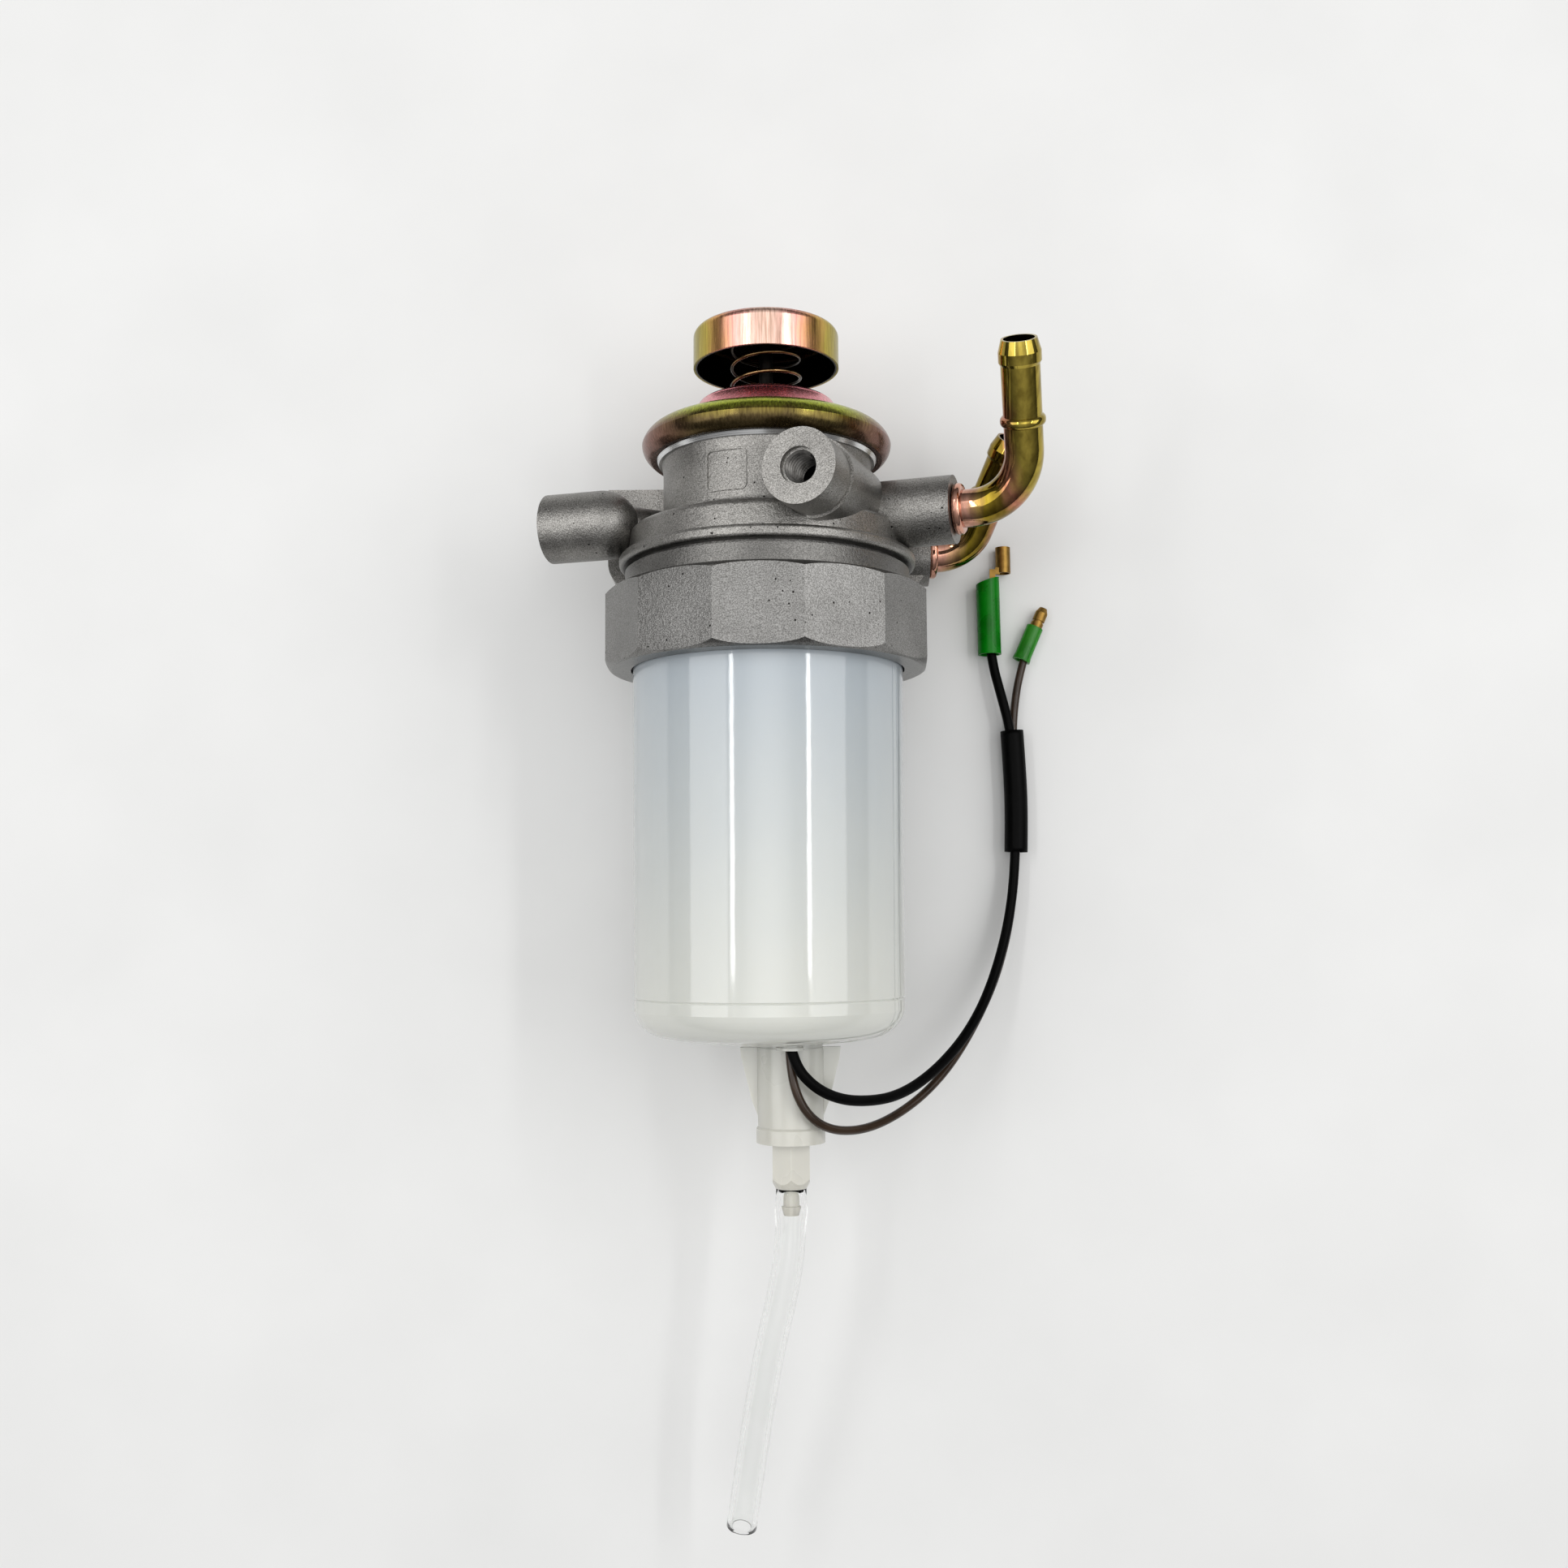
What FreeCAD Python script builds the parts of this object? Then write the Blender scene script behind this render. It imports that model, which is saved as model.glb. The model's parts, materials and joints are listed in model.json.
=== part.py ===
"""Diesel fuel filter and water separator with a hand primer pump, lying on its mounting face.

Frame: millimetres, +Z up from the mounting face, +Y along the filter axis from the drain towards the
primer button, +X right. The origin is the centre of the mounting face. A "station" is a place along
the filter axis, counted from a point just beyond the drain barb, so that every station is positive.
"""

import FreeCAD
import Part
import math
import os

import Sketcher

DIMENSIONS = {
    # Datums
    "datum": 217.5,
    "axis_height": 46.5,
    "running_gap": 0.05,
    # Head casting
    "neck_r": 30.0,
    "neck_top": 232.9,
    "tier_r": 39.9,
    "tier_top": 213.0,
    "ledge_r": 42.75,
    "ledge_top": 205.4,
    "ledge_end": 201.9,
    "groove_r": 39.3,
    "groove_width": 1.1,
    "skirt_r": 41.0,
    "skirt_inner_r": 37.4,
    "skirt_end": 181.2,
    "roof_station": 202.0,
    "edge_round": 1.2,
    "spigot_r": 8.0,
    "spigot_end": 186.0,
    "passage_r": 3.5,
    "boss_station": 215.3,
    # Threaded bosses and the two pipe bosses
    "front_boss_r": 10.2,
    "left_boss_r": 9.9,
    "pipe_boss_r": 9.6,
    "port_thread_r": 4.4,
    "port_mouth_r": 5.1,
    "port_depth": 18.0,
    # Mounting block
    "mount_half_width": 49.0,
    "mount_low": 201.5,
    "mount_high": 233.3,
    "mount_lug_depth": 21.5,
    "mount_corner_r": 9.0,
    "mount_hole_r": 3.4,
    "mount_hole_x": 40.0,
    "mount_hole_station": 224.5,
    "mount_hole_depth": 14.0,
    # Pipes
    "pipe_r": 5.3,
    "pipe_bore_r": 4.2,
    "pipe_bend_r": 16.0,
    "rear_bend_r": 13.0,
    "pipe_bead_r": 6.2,
    "barb_land_r": 5.8,
    "pipe_collar_r": 7.2,
    # Ring nut
    "nut_corner_r": 46.9,
    "nut_top": 195.5,
    "nut_bottom": 172.4,
    "nut_bore_r": 41.4,
    "nut_lip_r": 39.3,
    "nut_lip_top": 175.6,
    # Bowl
    "bowl_top_r": 38.8,
    "bowl_low_r": 38.2,
    "bowl_seam": 79.4,
    "bowl_bottom": 66.5,
    "bowl_wall": 2.3,
    "bowl_flange_r": 40.7,
    "bowl_flange_top": 179.2,
    "bowl_flange_low": 175.8,
    "knuckle_r": 9.0,
    # Pump
    "plate_r": 31.3,
    "plate_edge_r": 32.0,
    "plate_flange_r": 33.2,
    "plate_step": 235.3,
    "plate_top": 236.6,
    "cage_x": 14.0,
    "cage_r": 9.0,
    "cage_bore_r": 7.0,
    "cage_end": 224.0,
    "valve_r": 6.0,
    "bead_top": 241.8,
    "sheet": 1.2,
    "cover_r": 36.2,
    "cover_side": 238.6,
    "cover_curl": 234.0,
    "cover_flat": 243.4,
    "cover_top": 251.4,
    "cover_top_r": 19.2,
    "cover_foot_r": 26.0,
    "rod_r": 2.0,
    "bush_r": 4.2,
    "button_r": 21.25,
    "button_rim": 262.0,
    "button_top": 273.2,
    "button_sheet": 1.0,
    "button_round": 2.2,
    "spring_r": 10.0,
    "spring_wire_r": 0.55,
    "spring_pitch": 5.6,
    # Filter element
    "element_r": 31.0,
    "element_top": 199.0,
    "element_low": 114.0,
    "core_r": 10.0,
    # Water sensor and drain
    "drain_x": 5.7,
    "sensor_r": 9.7,
    "sensor_top": 65.5,
    "wing_r": 14.2,
    "wing_end": 50.7,
    "collar_top": 43.6,
    "collar_end": 39.1,
    "stem_r": 3.6,
    "stem_top": 106.0,
    "float_r": 10.0,
    "float_low": 72.0,
    "float_length": 13.0,
    "float_travel": 14.0,
    "plug_corner_r": 6.0,
    "plug_end": 26.4,
    "plug_stem_r": 3.2,
    "barb_r": 2.75,
    "barb_end": 19.0,
    # Leads and hose
    "black_r": 1.5,
    "brown_r": 1.25,
    "sleeve_r": 3.6,
    "sleeve_bore_r": 3.05,
    "hose_r": 4.3,
    "hose_bore_r": 3.0,
    "insulator_r": 3.65,
    "small_insulator_r": 2.65,
}

SHEET = "dims"
UP = FreeCAD.Vector(0, 0, 1)
ALONG = FreeCAD.Vector(0, 1, 0)

doc = FreeCAD.newDocument("fuel_filter")


# Points on each turn of a coil spring's centreline.
COIL_POINTS = 24


class Size:
    """A length: its value in millimetres, and the sheet expression that drives it."""

    def __init__(self, value, text):
        self.value = value
        self.text = text

    def __add__(self, other):
        other = size(other)
        return Size(self.value + other.value, f"({self.text} + {other.text})")

    def __sub__(self, other):
        other = size(other)
        return Size(self.value - other.value, f"({self.text} - {other.text})")

    def __mul__(self, factor):
        return Size(self.value * factor, f"({self.text} * {factor})")

    def __neg__(self):
        return Size(-self.value, f"(0 - {self.text})")


def size(length):
    return length if isinstance(length, Size) else Size(float(length), f"{float(length)}")


class Dimensions:
    """The sheet's aliases as attributes, each one a Size."""

    def __init__(self, table):
        for alias, value in table.items():
            setattr(self, alias, Size(value, f"<<{SHEET}>>.{alias}"))


def make_sheet(table):
    sheet = doc.addObject("Spreadsheet::Sheet", SHEET)
    sheet.Label = SHEET
    for row, (alias, value) in enumerate(table.items(), start=1):
        sheet.set(f"A{row}", alias)
        sheet.set(f"B{row}", str(value))
        sheet.setAlias(f"B{row}", alias)
    doc.recompute()


make_sheet(DIMENSIONS)
d = Dimensions(DIMENSIONS)


def bind(item, prop, length):
    """Give a property its value now, and bind it to the sheet."""
    item.setExpression(prop, size(length).text)


def place_on_axis(item, x=0.0, height=0.0, station=0.0):
    """Put an item on a line parallel to the filter axis, beside it by x and above it by height."""
    bind(item, "Placement.Base.x", size(x))
    bind(item, "Placement.Base.y", size(station) - d.datum)
    bind(item, "Placement.Base.z", d.axis_height + height)


def point(x, station, height):
    """A point of the document, from its place beside, along and above the filter axis."""
    return FreeCAD.Vector(x, station - d.datum.value, height + d.axis_height.value)


def turned(label, outline, x=0.0, height=0.0):
    """A body turned about a line parallel to the filter axis.

    The outline is a closed ring of corners (radius, station) or (radius, station, arc), where arc is
    the radius of the edge that leaves that corner, negative when it curves clockwise.
    """
    body = doc.addObject("PartDesign::Body", label.replace(".", "_"))
    plane = [f for f in body.Origin.OriginFeatures if f.Role == "XY_Plane"][0]
    sketch = body.newObject("Sketcher::SketchObject", f"{label}_outline")
    sketch.AttachmentSupport = [(plane, "")]
    sketch.MapMode = "FlatFace"
    corners = [tuple(size(v) for v in corner) for corner in outline]
    ends = []
    for index, corner in enumerate(corners):
        following = corners[(index + 1) % len(corners)]
        start = FreeCAD.Vector(corner[0].value, corner[1].value, 0)
        end = FreeCAD.Vector(following[0].value, following[1].value, 0)
        if len(corner) == 2:
            sketch.addGeometry(Part.LineSegment(start, end), False)
            ends.append((1, 2))
        else:
            ends.append(add_arc(sketch, start, end, corner[2].value))
    for index, corner in enumerate(corners):
        following = (index + 1) % len(corners)
        sketch.addConstraint(
            Sketcher.Constraint("Coincident", index, ends[index][1], following, ends[following][0])
        )
        first = ends[index][0]
        if corner[0].value == 0.0:
            sketch.addConstraint(Sketcher.Constraint("PointOnObject", index, first, -2))
        else:
            drive(sketch, Sketcher.Constraint("DistanceX", -1, 1, index, first, corner[0].value), corner[0])
        drive(sketch, Sketcher.Constraint("DistanceY", -1, 1, index, first, corner[1].value), corner[1])
        if len(corner) == 3:
            radius = abs(corner[2].value)
            drive(sketch, Sketcher.Constraint("Radius", index, radius), size(radius))
    turn = body.newObject("PartDesign::Revolution", f"{label}_turn")
    turn.Profile = sketch
    turn.ReferenceAxis = (sketch, ["V_Axis"])
    turn.Angle = 360.0
    body.Tip = turn
    place_on_axis(body, x, height)
    body.Label = label
    return body


def add_arc(sketch, start, end, radius):
    """Add an arc from start to end, and say which of its ends is which."""
    half = (end - start) * 0.5
    rise = math.sqrt(max(radius * radius - half.Length**2, 0.0))
    across = FreeCAD.Vector(-half.y, half.x, 0).normalize()
    turn = 1.0 if radius > 0 else -1.0
    centre = start + half + across * (rise * turn)
    begin, finish = (start, end) if radius > 0 else (end, start)
    angles = [math.atan2(p.y - centre.y, p.x - centre.x) for p in (begin, finish)]
    circle = Part.Circle(centre, UP, abs(radius))
    sketch.addGeometry(Part.ArcOfCircle(circle, angles[0], angles[1]), False)
    return (1, 2) if radius > 0 else (2, 1)


def drive(sketch, constraint, length):
    index = sketch.addConstraint(constraint)
    sketch.setExpression(f"Constraints[{index}]", length.text)


def tube(label, outer, inner, low, high, x=0.0, height=0.0):
    """A plain ring, sleeve or bush on a line parallel to the filter axis."""
    return turned(label, [(inner, low), (outer, low), (outer, high), (inner, high)], x, height)


def disc(label, radius, low, high, x=0.0, height=0.0):
    """A solid round piece on a line parallel to the filter axis."""
    return turned(label, [(0, low), (radius, low), (radius, high), (0, high)], x, height)


def cylinder(label, radius, length, start, direction):
    """A cylinder from a start point along any direction."""
    item = doc.addObject("Part::Cylinder", label)
    bind(item, "Radius", radius)
    bind(item, "Height", length)
    item.Placement = FreeCAD.Placement(start, FreeCAD.Rotation(UP, direction))
    return item


def block(label, low, high):
    """A box between two opposite corners, each given as (x, station, height above the bottom)."""
    item = doc.addObject("Part::Box", label)
    low = [size(v) for v in low]
    high = [size(v) for v in high]
    for prop, a, b in zip(("Length", "Width", "Height"), low, high):
        bind(item, prop, b - a)
    bind(item, "Placement.Base.x", low[0])
    bind(item, "Placement.Base.y", low[1] - d.datum)
    bind(item, "Placement.Base.z", low[2])
    return item


def fuse(label, items):
    item = doc.addObject("Part::MultiFuse", label)
    item.Shapes = items
    item.Refine = True
    item.Label = label
    return item


def cut(label, base, tool):
    item = doc.addObject("Part::Cut", label)
    item.Base = base
    item.Tool = tool
    item.Refine = True
    item.Label = label
    return item


def common(label, base, tool):
    item = doc.addObject("Part::MultiCommon", label)
    item.Shapes = [base, tool]
    item.Label = label
    return item


def shaped(label, shape):
    item = doc.addObject("Part::Feature", label)
    item.Shape = shape
    item.Label = label
    return item


# ---------------------------------------------------------------- bent tubes


def round_route(points):
    """Straight runs joined by tangent arcs, each arc as large as its two runs allow."""
    edges = []
    radii = []
    last = points[0]
    for before, corner, after in zip(points, points[1:], points[2:]):
        arrive = (corner - before).normalize()
        leave = (after - corner).normalize()
        turn = arrive.getAngle(leave)
        reach = 0.45 * min((corner - before).Length, (after - corner).Length)
        radii.append(reach / math.tan(turn / 2))
        start = corner - arrive * reach
        end = corner + leave * reach
        middle = corner + (leave - arrive).normalize() * (radii[-1] * (1 / math.cos(turn / 2) - 1))
        edges.append(Part.LineSegment(last, start).toShape())
        edges.append(Part.Arc(start, middle, end).toShape())
        last = end
    edges.append(Part.LineSegment(last, points[-1]).toShape())
    return Part.Wire(edges), radii


def fixed_bend_route(points, bend):
    """Straight runs joined by arcs of one stated radius, as a pipe bender makes them."""
    edges = []
    last = points[0]
    for before, corner, after in zip(points, points[1:], points[2:]):
        arrive = (corner - before).normalize()
        leave = (after - corner).normalize()
        turn = arrive.getAngle(leave)
        start = corner - arrive * (bend * math.tan(turn / 2))
        end = corner + leave * (bend * math.tan(turn / 2))
        middle = corner + (leave - arrive).normalize() * (bend * (1 / math.cos(turn / 2) - 1))
        edges.append(Part.LineSegment(last, start).toShape())
        edges.append(Part.Arc(start, middle, end).toShape())
        last = end
    edges.append(Part.LineSegment(last, points[-1]).toShape())
    return Part.Wire(edges)


def swept(path, start, towards, radius):
    circle = Part.Wire(Part.Circle(start, towards, radius).toShape())
    return path.makePipeShell([circle], True, False)


def cord(label, places, radius, bore=0.0):
    """A flexible tube along a route, with its radii and volume printed for checking."""
    points = [FreeCAD.Vector(*place) for place in places]
    path, radii = round_route(points)
    towards = points[1] - points[0]
    solid = swept(path, points[0], towards, radius)
    if bore:
        solid = solid.cut(swept(path, points[0], towards, bore))
    section = math.pi * (radius**2 - bore**2)
    ratio = solid.Volume / (section * path.Length)
    print(f"{label}: length {path.Length:.1f}, radii {[round(r) for r in radii]}, volume ratio {ratio:.4f}")
    return shaped(label, solid)


# ---------------------------------------------------------------- head casting


def head_body():
    top = d.neck_top
    return turned(
        "head_turned",
        [
            (0, d.spigot_end),
            (d.spigot_r, d.spigot_end),
            (d.spigot_r, d.roof_station),
            (d.skirt_inner_r, d.roof_station),
            (d.skirt_inner_r, d.skirt_end),
            (d.skirt_r, d.skirt_end),
            (d.skirt_r, d.ledge_end - d.groove_width),
            (d.groove_r, d.ledge_end - d.groove_width),
            (d.groove_r, d.ledge_end),
            (d.ledge_r - d.edge_round, d.ledge_end, d.edge_round),
            (d.ledge_r, d.ledge_end + d.edge_round),
            (d.ledge_r, d.ledge_top - d.edge_round, d.edge_round),
            (d.ledge_r - d.edge_round, d.ledge_top),
            (d.tier_r + 0.3, d.ledge_top),
            (d.tier_r - 0.1, d.tier_top - 1.8, 1.8),
            (d.tier_r - 1.9, d.tier_top),
            (d.neck_r + 2.4, d.tier_top + 1.0, -2.4),
            (d.neck_r, d.tier_top + 3.4),
            (d.neck_r, top - 3.0),
            (d.neck_r + 0.5, top),
            (0, top),
        ],
    )


FRONT_FACE = point(8.7, 218.3, 51.0)
FRONT_OUT = FreeCAD.Vector(-0.352, 0.0, 0.936).normalize()
LEFT_DOME = point(-46.7, 214.5, 5.0)
LEFT_OUT = FreeCAD.Vector(-0.961, 0.0, -0.276).normalize()
LEFT_LENGTH = 16.6
LEFT_INWARD = FreeCAD.Vector(0.85, 0.0, -0.53).normalize()
LEFT_ROOT_R = 6.5
PIPE_AZIMUTH = math.radians(18.0)
PIPE_OUT = FreeCAD.Vector(math.cos(PIPE_AZIMUTH), 0.0, math.sin(PIPE_AZIMUTH))
PIPE_FACE_REACH = 55.5
PIPE_FACE = point(0, d.boss_station.value, 0) + PIPE_OUT * PIPE_FACE_REACH
REAR_FACE = point(49.5, 213.6, -31.0)
REAR_OUT = FreeCAD.Vector(1, 0, 0)
# How deep each boss runs into the body, and how far the front boss's thicker root is set back.
FRONT_DEPTH = 40.0
FRONT_SETBACK = 12.5
FRONT_ROOT_DEPTH = 28.0
PIPE_BOSS_DEPTH = 35.0
SIDE_DEPTH = 30.0


def lug(label, side):
    """One end of the mounting block: a thick lug with rounded lower corners."""
    inner = 30.0
    low_x = -d.mount_half_width if side < 0 else size(inner)
    high_x = size(-inner) if side < 0 else d.mount_half_width
    box = block(
        f"{label}_box", (low_x, d.mount_low, 0), (high_x, d.mount_high, d.mount_lug_depth)
    )
    corner = cylinder(
        f"{label}_corner",
        d.mount_corner_r,
        d.mount_lug_depth,
        FreeCAD.Vector(
            side * (d.mount_half_width - d.mount_corner_r).value,
            (d.mount_low + d.mount_corner_r - d.datum).value,
            0,
        ),
        UP,
    )
    waste_low = -d.mount_half_width - 1 if side < 0 else d.mount_half_width - d.mount_corner_r
    waste_high = d.mount_corner_r - d.mount_half_width if side < 0 else d.mount_half_width + 1
    waste = block(
        f"{label}_waste",
        (waste_low, d.mount_low - 1, -1),
        (waste_high, d.mount_low + d.mount_corner_r, d.mount_lug_depth + 1),
    )
    trimmed = cut(f"{label}_trimmed", box, waste)
    return fuse(label, [trimmed, corner])


def head_masses():
    """The body, its five bosses and the mounting block, before drilling."""
    dome = doc.addObject("Part::Sphere", "left_dome")
    bind(dome, "Radius", d.left_boss_r)
    dome.Placement = FreeCAD.Placement(LEFT_DOME, FreeCAD.Rotation())
    left = cylinder("left_boss", d.left_boss_r, LEFT_LENGTH, LEFT_DOME, LEFT_OUT)
    left_root = cylinder("left_root", LEFT_ROOT_R, SIDE_DEPTH, LEFT_DOME, LEFT_INWARD)
    front = cylinder("front_boss", d.front_boss_r, FRONT_DEPTH, FRONT_FACE, -FRONT_OUT)
    root_start = FRONT_FACE - FRONT_OUT * FRONT_SETBACK
    collar = cylinder("front_collar", d.front_boss_r + 0.8, FRONT_ROOT_DEPTH, root_start, -FRONT_OUT)
    right = cylinder("pipe_boss", d.pipe_boss_r, PIPE_BOSS_DEPTH, PIPE_FACE, -PIPE_OUT)
    rear = cylinder("rear_boss", d.pipe_boss_r, SIDE_DEPTH, REAR_FACE, -REAR_OUT)
    plate = block(
        "mount_plate", (-d.mount_half_width + 9, d.mount_low, 0), (d.mount_half_width - 9, d.mount_high, 9.5)
    )
    filler = block("mount_filler", (-31, d.mount_low, 0), (31, 222.0, 26.5))
    rib = block("left_rib", (-46, 213.0, 12), (-24, 229.0, 36))
    right_rib = block("right_rib", (24, 216.0, 12), (44, 229.0, 34))
    masses = [head_body(), dome, left, left_root, front, collar, right, rear, plate, filler, rib, right_rib]
    masses += [lug("left_lug", -1), lug("right_lug", 1), blank_plate()]
    return fuse("head_masses", masses)


def blank_plate():
    """A raised, empty nameplate frame on the neck."""
    ring = tube("plate_ring", d.neck_r + 0.35, d.neck_r - 0.5, 216.0, 232.0)
    azimuth = math.radians(-21.5)
    out = FreeCAD.Vector(math.sin(azimuth), 0, math.cos(azimuth))
    frames = []
    for name, half, radius in (("outer", 6.1, 1.6), ("inner", 5.5, 1.2)):
        box = Part.makeBox(2 * half, 2 * half - 0.4, 20, FreeCAD.Vector(-half, -half + 0.2, 15))
        upright = [e for e in box.Edges if abs(e.tangentAt(e.FirstParameter).z) > 0.9]
        frames.append(box.makeFillet(radius, upright))
    frame = shaped("plate_prism", frames[0].cut(frames[1]))
    turn = FreeCAD.Rotation(FreeCAD.Vector(out.z, 0, -out.x), ALONG, out, "XYZ")
    frame.Placement = FreeCAD.Placement(point(0, 224.1, 0), turn)
    return common("blank_plate", ring, frame)


def passages():
    """The fuel's way through the casting, grouped so that no two tools of a group touch."""
    inlet = point(0, d.boss_station.value, 0) + PIPE_OUT * 14.0
    gallery_end = point(0, 213.6, -31.0)
    gallery_turn = point(0, 205.0, 0.0) - gallery_end
    return [
        [
            disc("inlet_pocket", d.cage_r + 0.4, 221.0, d.neck_top + 1, d.cage_x),
            disc("outlet_pocket", d.cage_r + 0.4, 221.0, d.neck_top + 1, -d.cage_x),
            disc("spigot_bore", 5.0, d.spigot_end - 1, 206.0),
            cylinder("inlet_seat", d.pipe_r, 13.0, PIPE_FACE - PIPE_OUT * 12.0, PIPE_OUT),
            cylinder("rear_seat", d.pipe_r, 13.0, REAR_FACE - REAR_OUT * 12.0, REAR_OUT),
        ],
        [
            disc("inlet_rise", d.passage_r, 214.0, 222.0, d.cage_x, 4.5),
            disc("outlet_fall", d.passage_r, 200.0, 222.0, -d.cage_x),
            cylinder("gallery", d.passage_r, gallery_turn.Length, gallery_end, gallery_turn),
        ],
        [
            cylinder("inlet_bore", d.passage_r - 0.1, PIPE_FACE_REACH - 14.0, inlet, PIPE_OUT),
            cylinder("rear_bore", d.passage_r - 0.1, 49.5, gallery_end, REAR_OUT),
        ],
    ]


def ports():
    """The threaded ports of the front and left bosses, and the two mounting holes."""
    threads = []
    mouths = []
    faces = (
        ("front", FRONT_FACE, FRONT_OUT),
        ("left", LEFT_DOME + LEFT_OUT * LEFT_LENGTH, LEFT_OUT),
    )
    for name, face, out in faces:
        threads.append(cylinder(f"{name}_thread", d.port_thread_r, d.port_depth, face - out * 16.0, out))
        mouths.append(cylinder(f"{name}_mouth", d.port_mouth_r, 3.5, face - out * 1.5, out))
    for side in (-1, 1):
        start = FreeCAD.Vector(side * d.mount_hole_x.value, (d.mount_hole_station - d.datum).value, -1.0)
        threads.append(cylinder(f"mount_hole_{side + 2}", d.mount_hole_r, d.mount_hole_depth + 1, start, UP))
    return [threads, mouths]


def make_head():
    casting = head_masses()
    groups = passages() + ports()
    for index, tools in enumerate(groups, start=1):
        label = "filter_head" if index == len(groups) else f"head_drilled_{index}"
        casting = cut(label, casting, fuse(f"head_tools_{index}", tools))


# ---------------------------------------------------------------- pipes


# How far each pipe is pressed into its boss, and the lengths of its barb's three parts.
PIPE_SEAT = 12.0
BARB_NOSE = 3.4
BARB_LAND = 2.6
BARB_BACK = 0.9
BARB_TAPER = 0.95
COLLAR_WIDTH = 2.6
COLLAR_ROUND = 1.1
STOP_WIDTH = 3.0
# The straight run from each boss to the pipe's bend, the run beyond it, and the stop's place.
UPPER_REACH = 20.2
UPPER_RUN = FreeCAD.Vector(-5.0, 37.9, 23.7)
UPPER_STOP_GAP = 21.8
REAR_REACH = 11.6
REAR_RUN = FreeCAD.Vector(12.2, 29.5, 22.0)
REAR_STOP_GAP = 19.0


def ring_on_pipe(centre, direction, radius, width, bore):
    """A rolled bead: a band with rounded flanks, centred on the pipe."""
    band = Part.makeCylinder(radius, width, centre - direction * (width / 2), direction)
    rims = [e for e in band.Edges if e.Closed]
    band = band.makeFillet(width * 0.45, rims)
    hole = Part.makeCylinder(bore, width + 2, centre - direction * (width / 2 + 1), direction)
    return band.cut(hole)


def hose_barb(end, direction):
    """A tapered nose, a land that the hose grips, and a short back slope, ending at the pipe's tip."""
    land = d.barb_land_r.value
    nose, width, back = BARB_NOSE, BARB_LAND, BARB_BACK
    tip = Part.makeCone(land, land - BARB_TAPER, nose, end - direction * nose, direction)
    band = Part.makeCylinder(land, width, end - direction * (nose + width), direction)
    slope_start = end - direction * (nose + width + back)
    slope = Part.makeCone(d.pipe_r.value - 0.02, land, back, slope_start, direction)
    return [tip, band, slope]


def make_pipe(label, points, bend, stop_gap):
    """A bent steel pipe with a collar against its boss, a stop bead and a hose barb."""
    start, corner, end = points
    first = (corner - start).normalize()
    last = (end - corner).normalize()
    barb_start = end - last * (BARB_NOSE + BARB_LAND)
    path = fixed_bend_route([start, corner, barb_start], bend)
    outer, bore = d.pipe_r.value, d.pipe_bore_r.value
    solid = swept(path, start, first, outer)
    face = start + first * PIPE_SEAT
    collar = Part.makeCylinder(d.pipe_collar_r.value, COLLAR_WIDTH, face + first * 0.05, first)
    collar = collar.makeFillet(COLLAR_ROUND, [e for e in collar.Edges if e.Closed])
    stop = ring_on_pipe(end - last * stop_gap, last, d.pipe_bead_r.value, STOP_WIDTH, outer - 0.6)
    solid = solid.fuse([collar, stop] + hose_barb(end, last))
    opening = Part.makeCylinder(bore, BARB_NOSE + BARB_LAND + 2.0, barb_start - last, last)
    solid = solid.cut(swept(path, start, first, bore)).cut(opening).removeSplitter()
    shaped(label, solid)


def make_pipes():
    corner = PIPE_FACE + PIPE_OUT * UPPER_REACH
    make_pipe(
        "upper_pipe",
        [PIPE_FACE - PIPE_OUT * PIPE_SEAT, corner, corner + UPPER_RUN],
        d.pipe_bend_r.value,
        UPPER_STOP_GAP,
    )
    rear_corner = REAR_FACE + REAR_OUT * REAR_REACH
    make_pipe(
        "rear_pipe",
        [REAR_FACE - REAR_OUT * PIPE_SEAT, rear_corner, rear_corner + REAR_RUN],
        d.rear_bend_r.value,
        REAR_STOP_GAP,
    )


# ---------------------------------------------------------------- ring nut, bowl and gasket


# The flat that faces forwards leans this far round from the top.
NUT_LEAN = -2.5
NUT_FLATS = 12
NUT_SPIN = NUT_LEAN + 180.0 / NUT_FLATS


def make_ring_nut():
    prism = doc.addObject("Part::Prism", "nut_prism")
    prism.Polygon = NUT_FLATS
    bind(prism, "Circumradius", d.nut_corner_r)
    bind(prism, "Height", d.nut_top - d.nut_bottom)
    lean = FreeCAD.Rotation(UP, ALONG)
    spin = FreeCAD.Rotation(UP, NUT_SPIN)
    base = FreeCAD.Vector(0, (d.nut_bottom - d.datum).value, d.axis_height.value)
    prism.Placement = FreeCAD.Placement(base, lean * spin)
    low, high = d.nut_bottom, d.nut_top
    envelope = turned(
        "nut_envelope",
        [
            (d.nut_lip_r, low),
            (d.nut_corner_r - 2.2, low, 5.0),
            (d.nut_corner_r + 0.3, low + 2.6),
            (d.nut_corner_r + 0.3, high - 2.4, 9.0),
            (d.nut_corner_r - 3.6, high),
            (d.nut_bore_r + 0.6, high),
            (d.nut_bore_r, high - 0.8),
            (d.nut_bore_r, d.nut_lip_top),
            (d.nut_lip_r, d.nut_lip_top),
        ],
    )
    common("ring_nut", prism, envelope)


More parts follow.
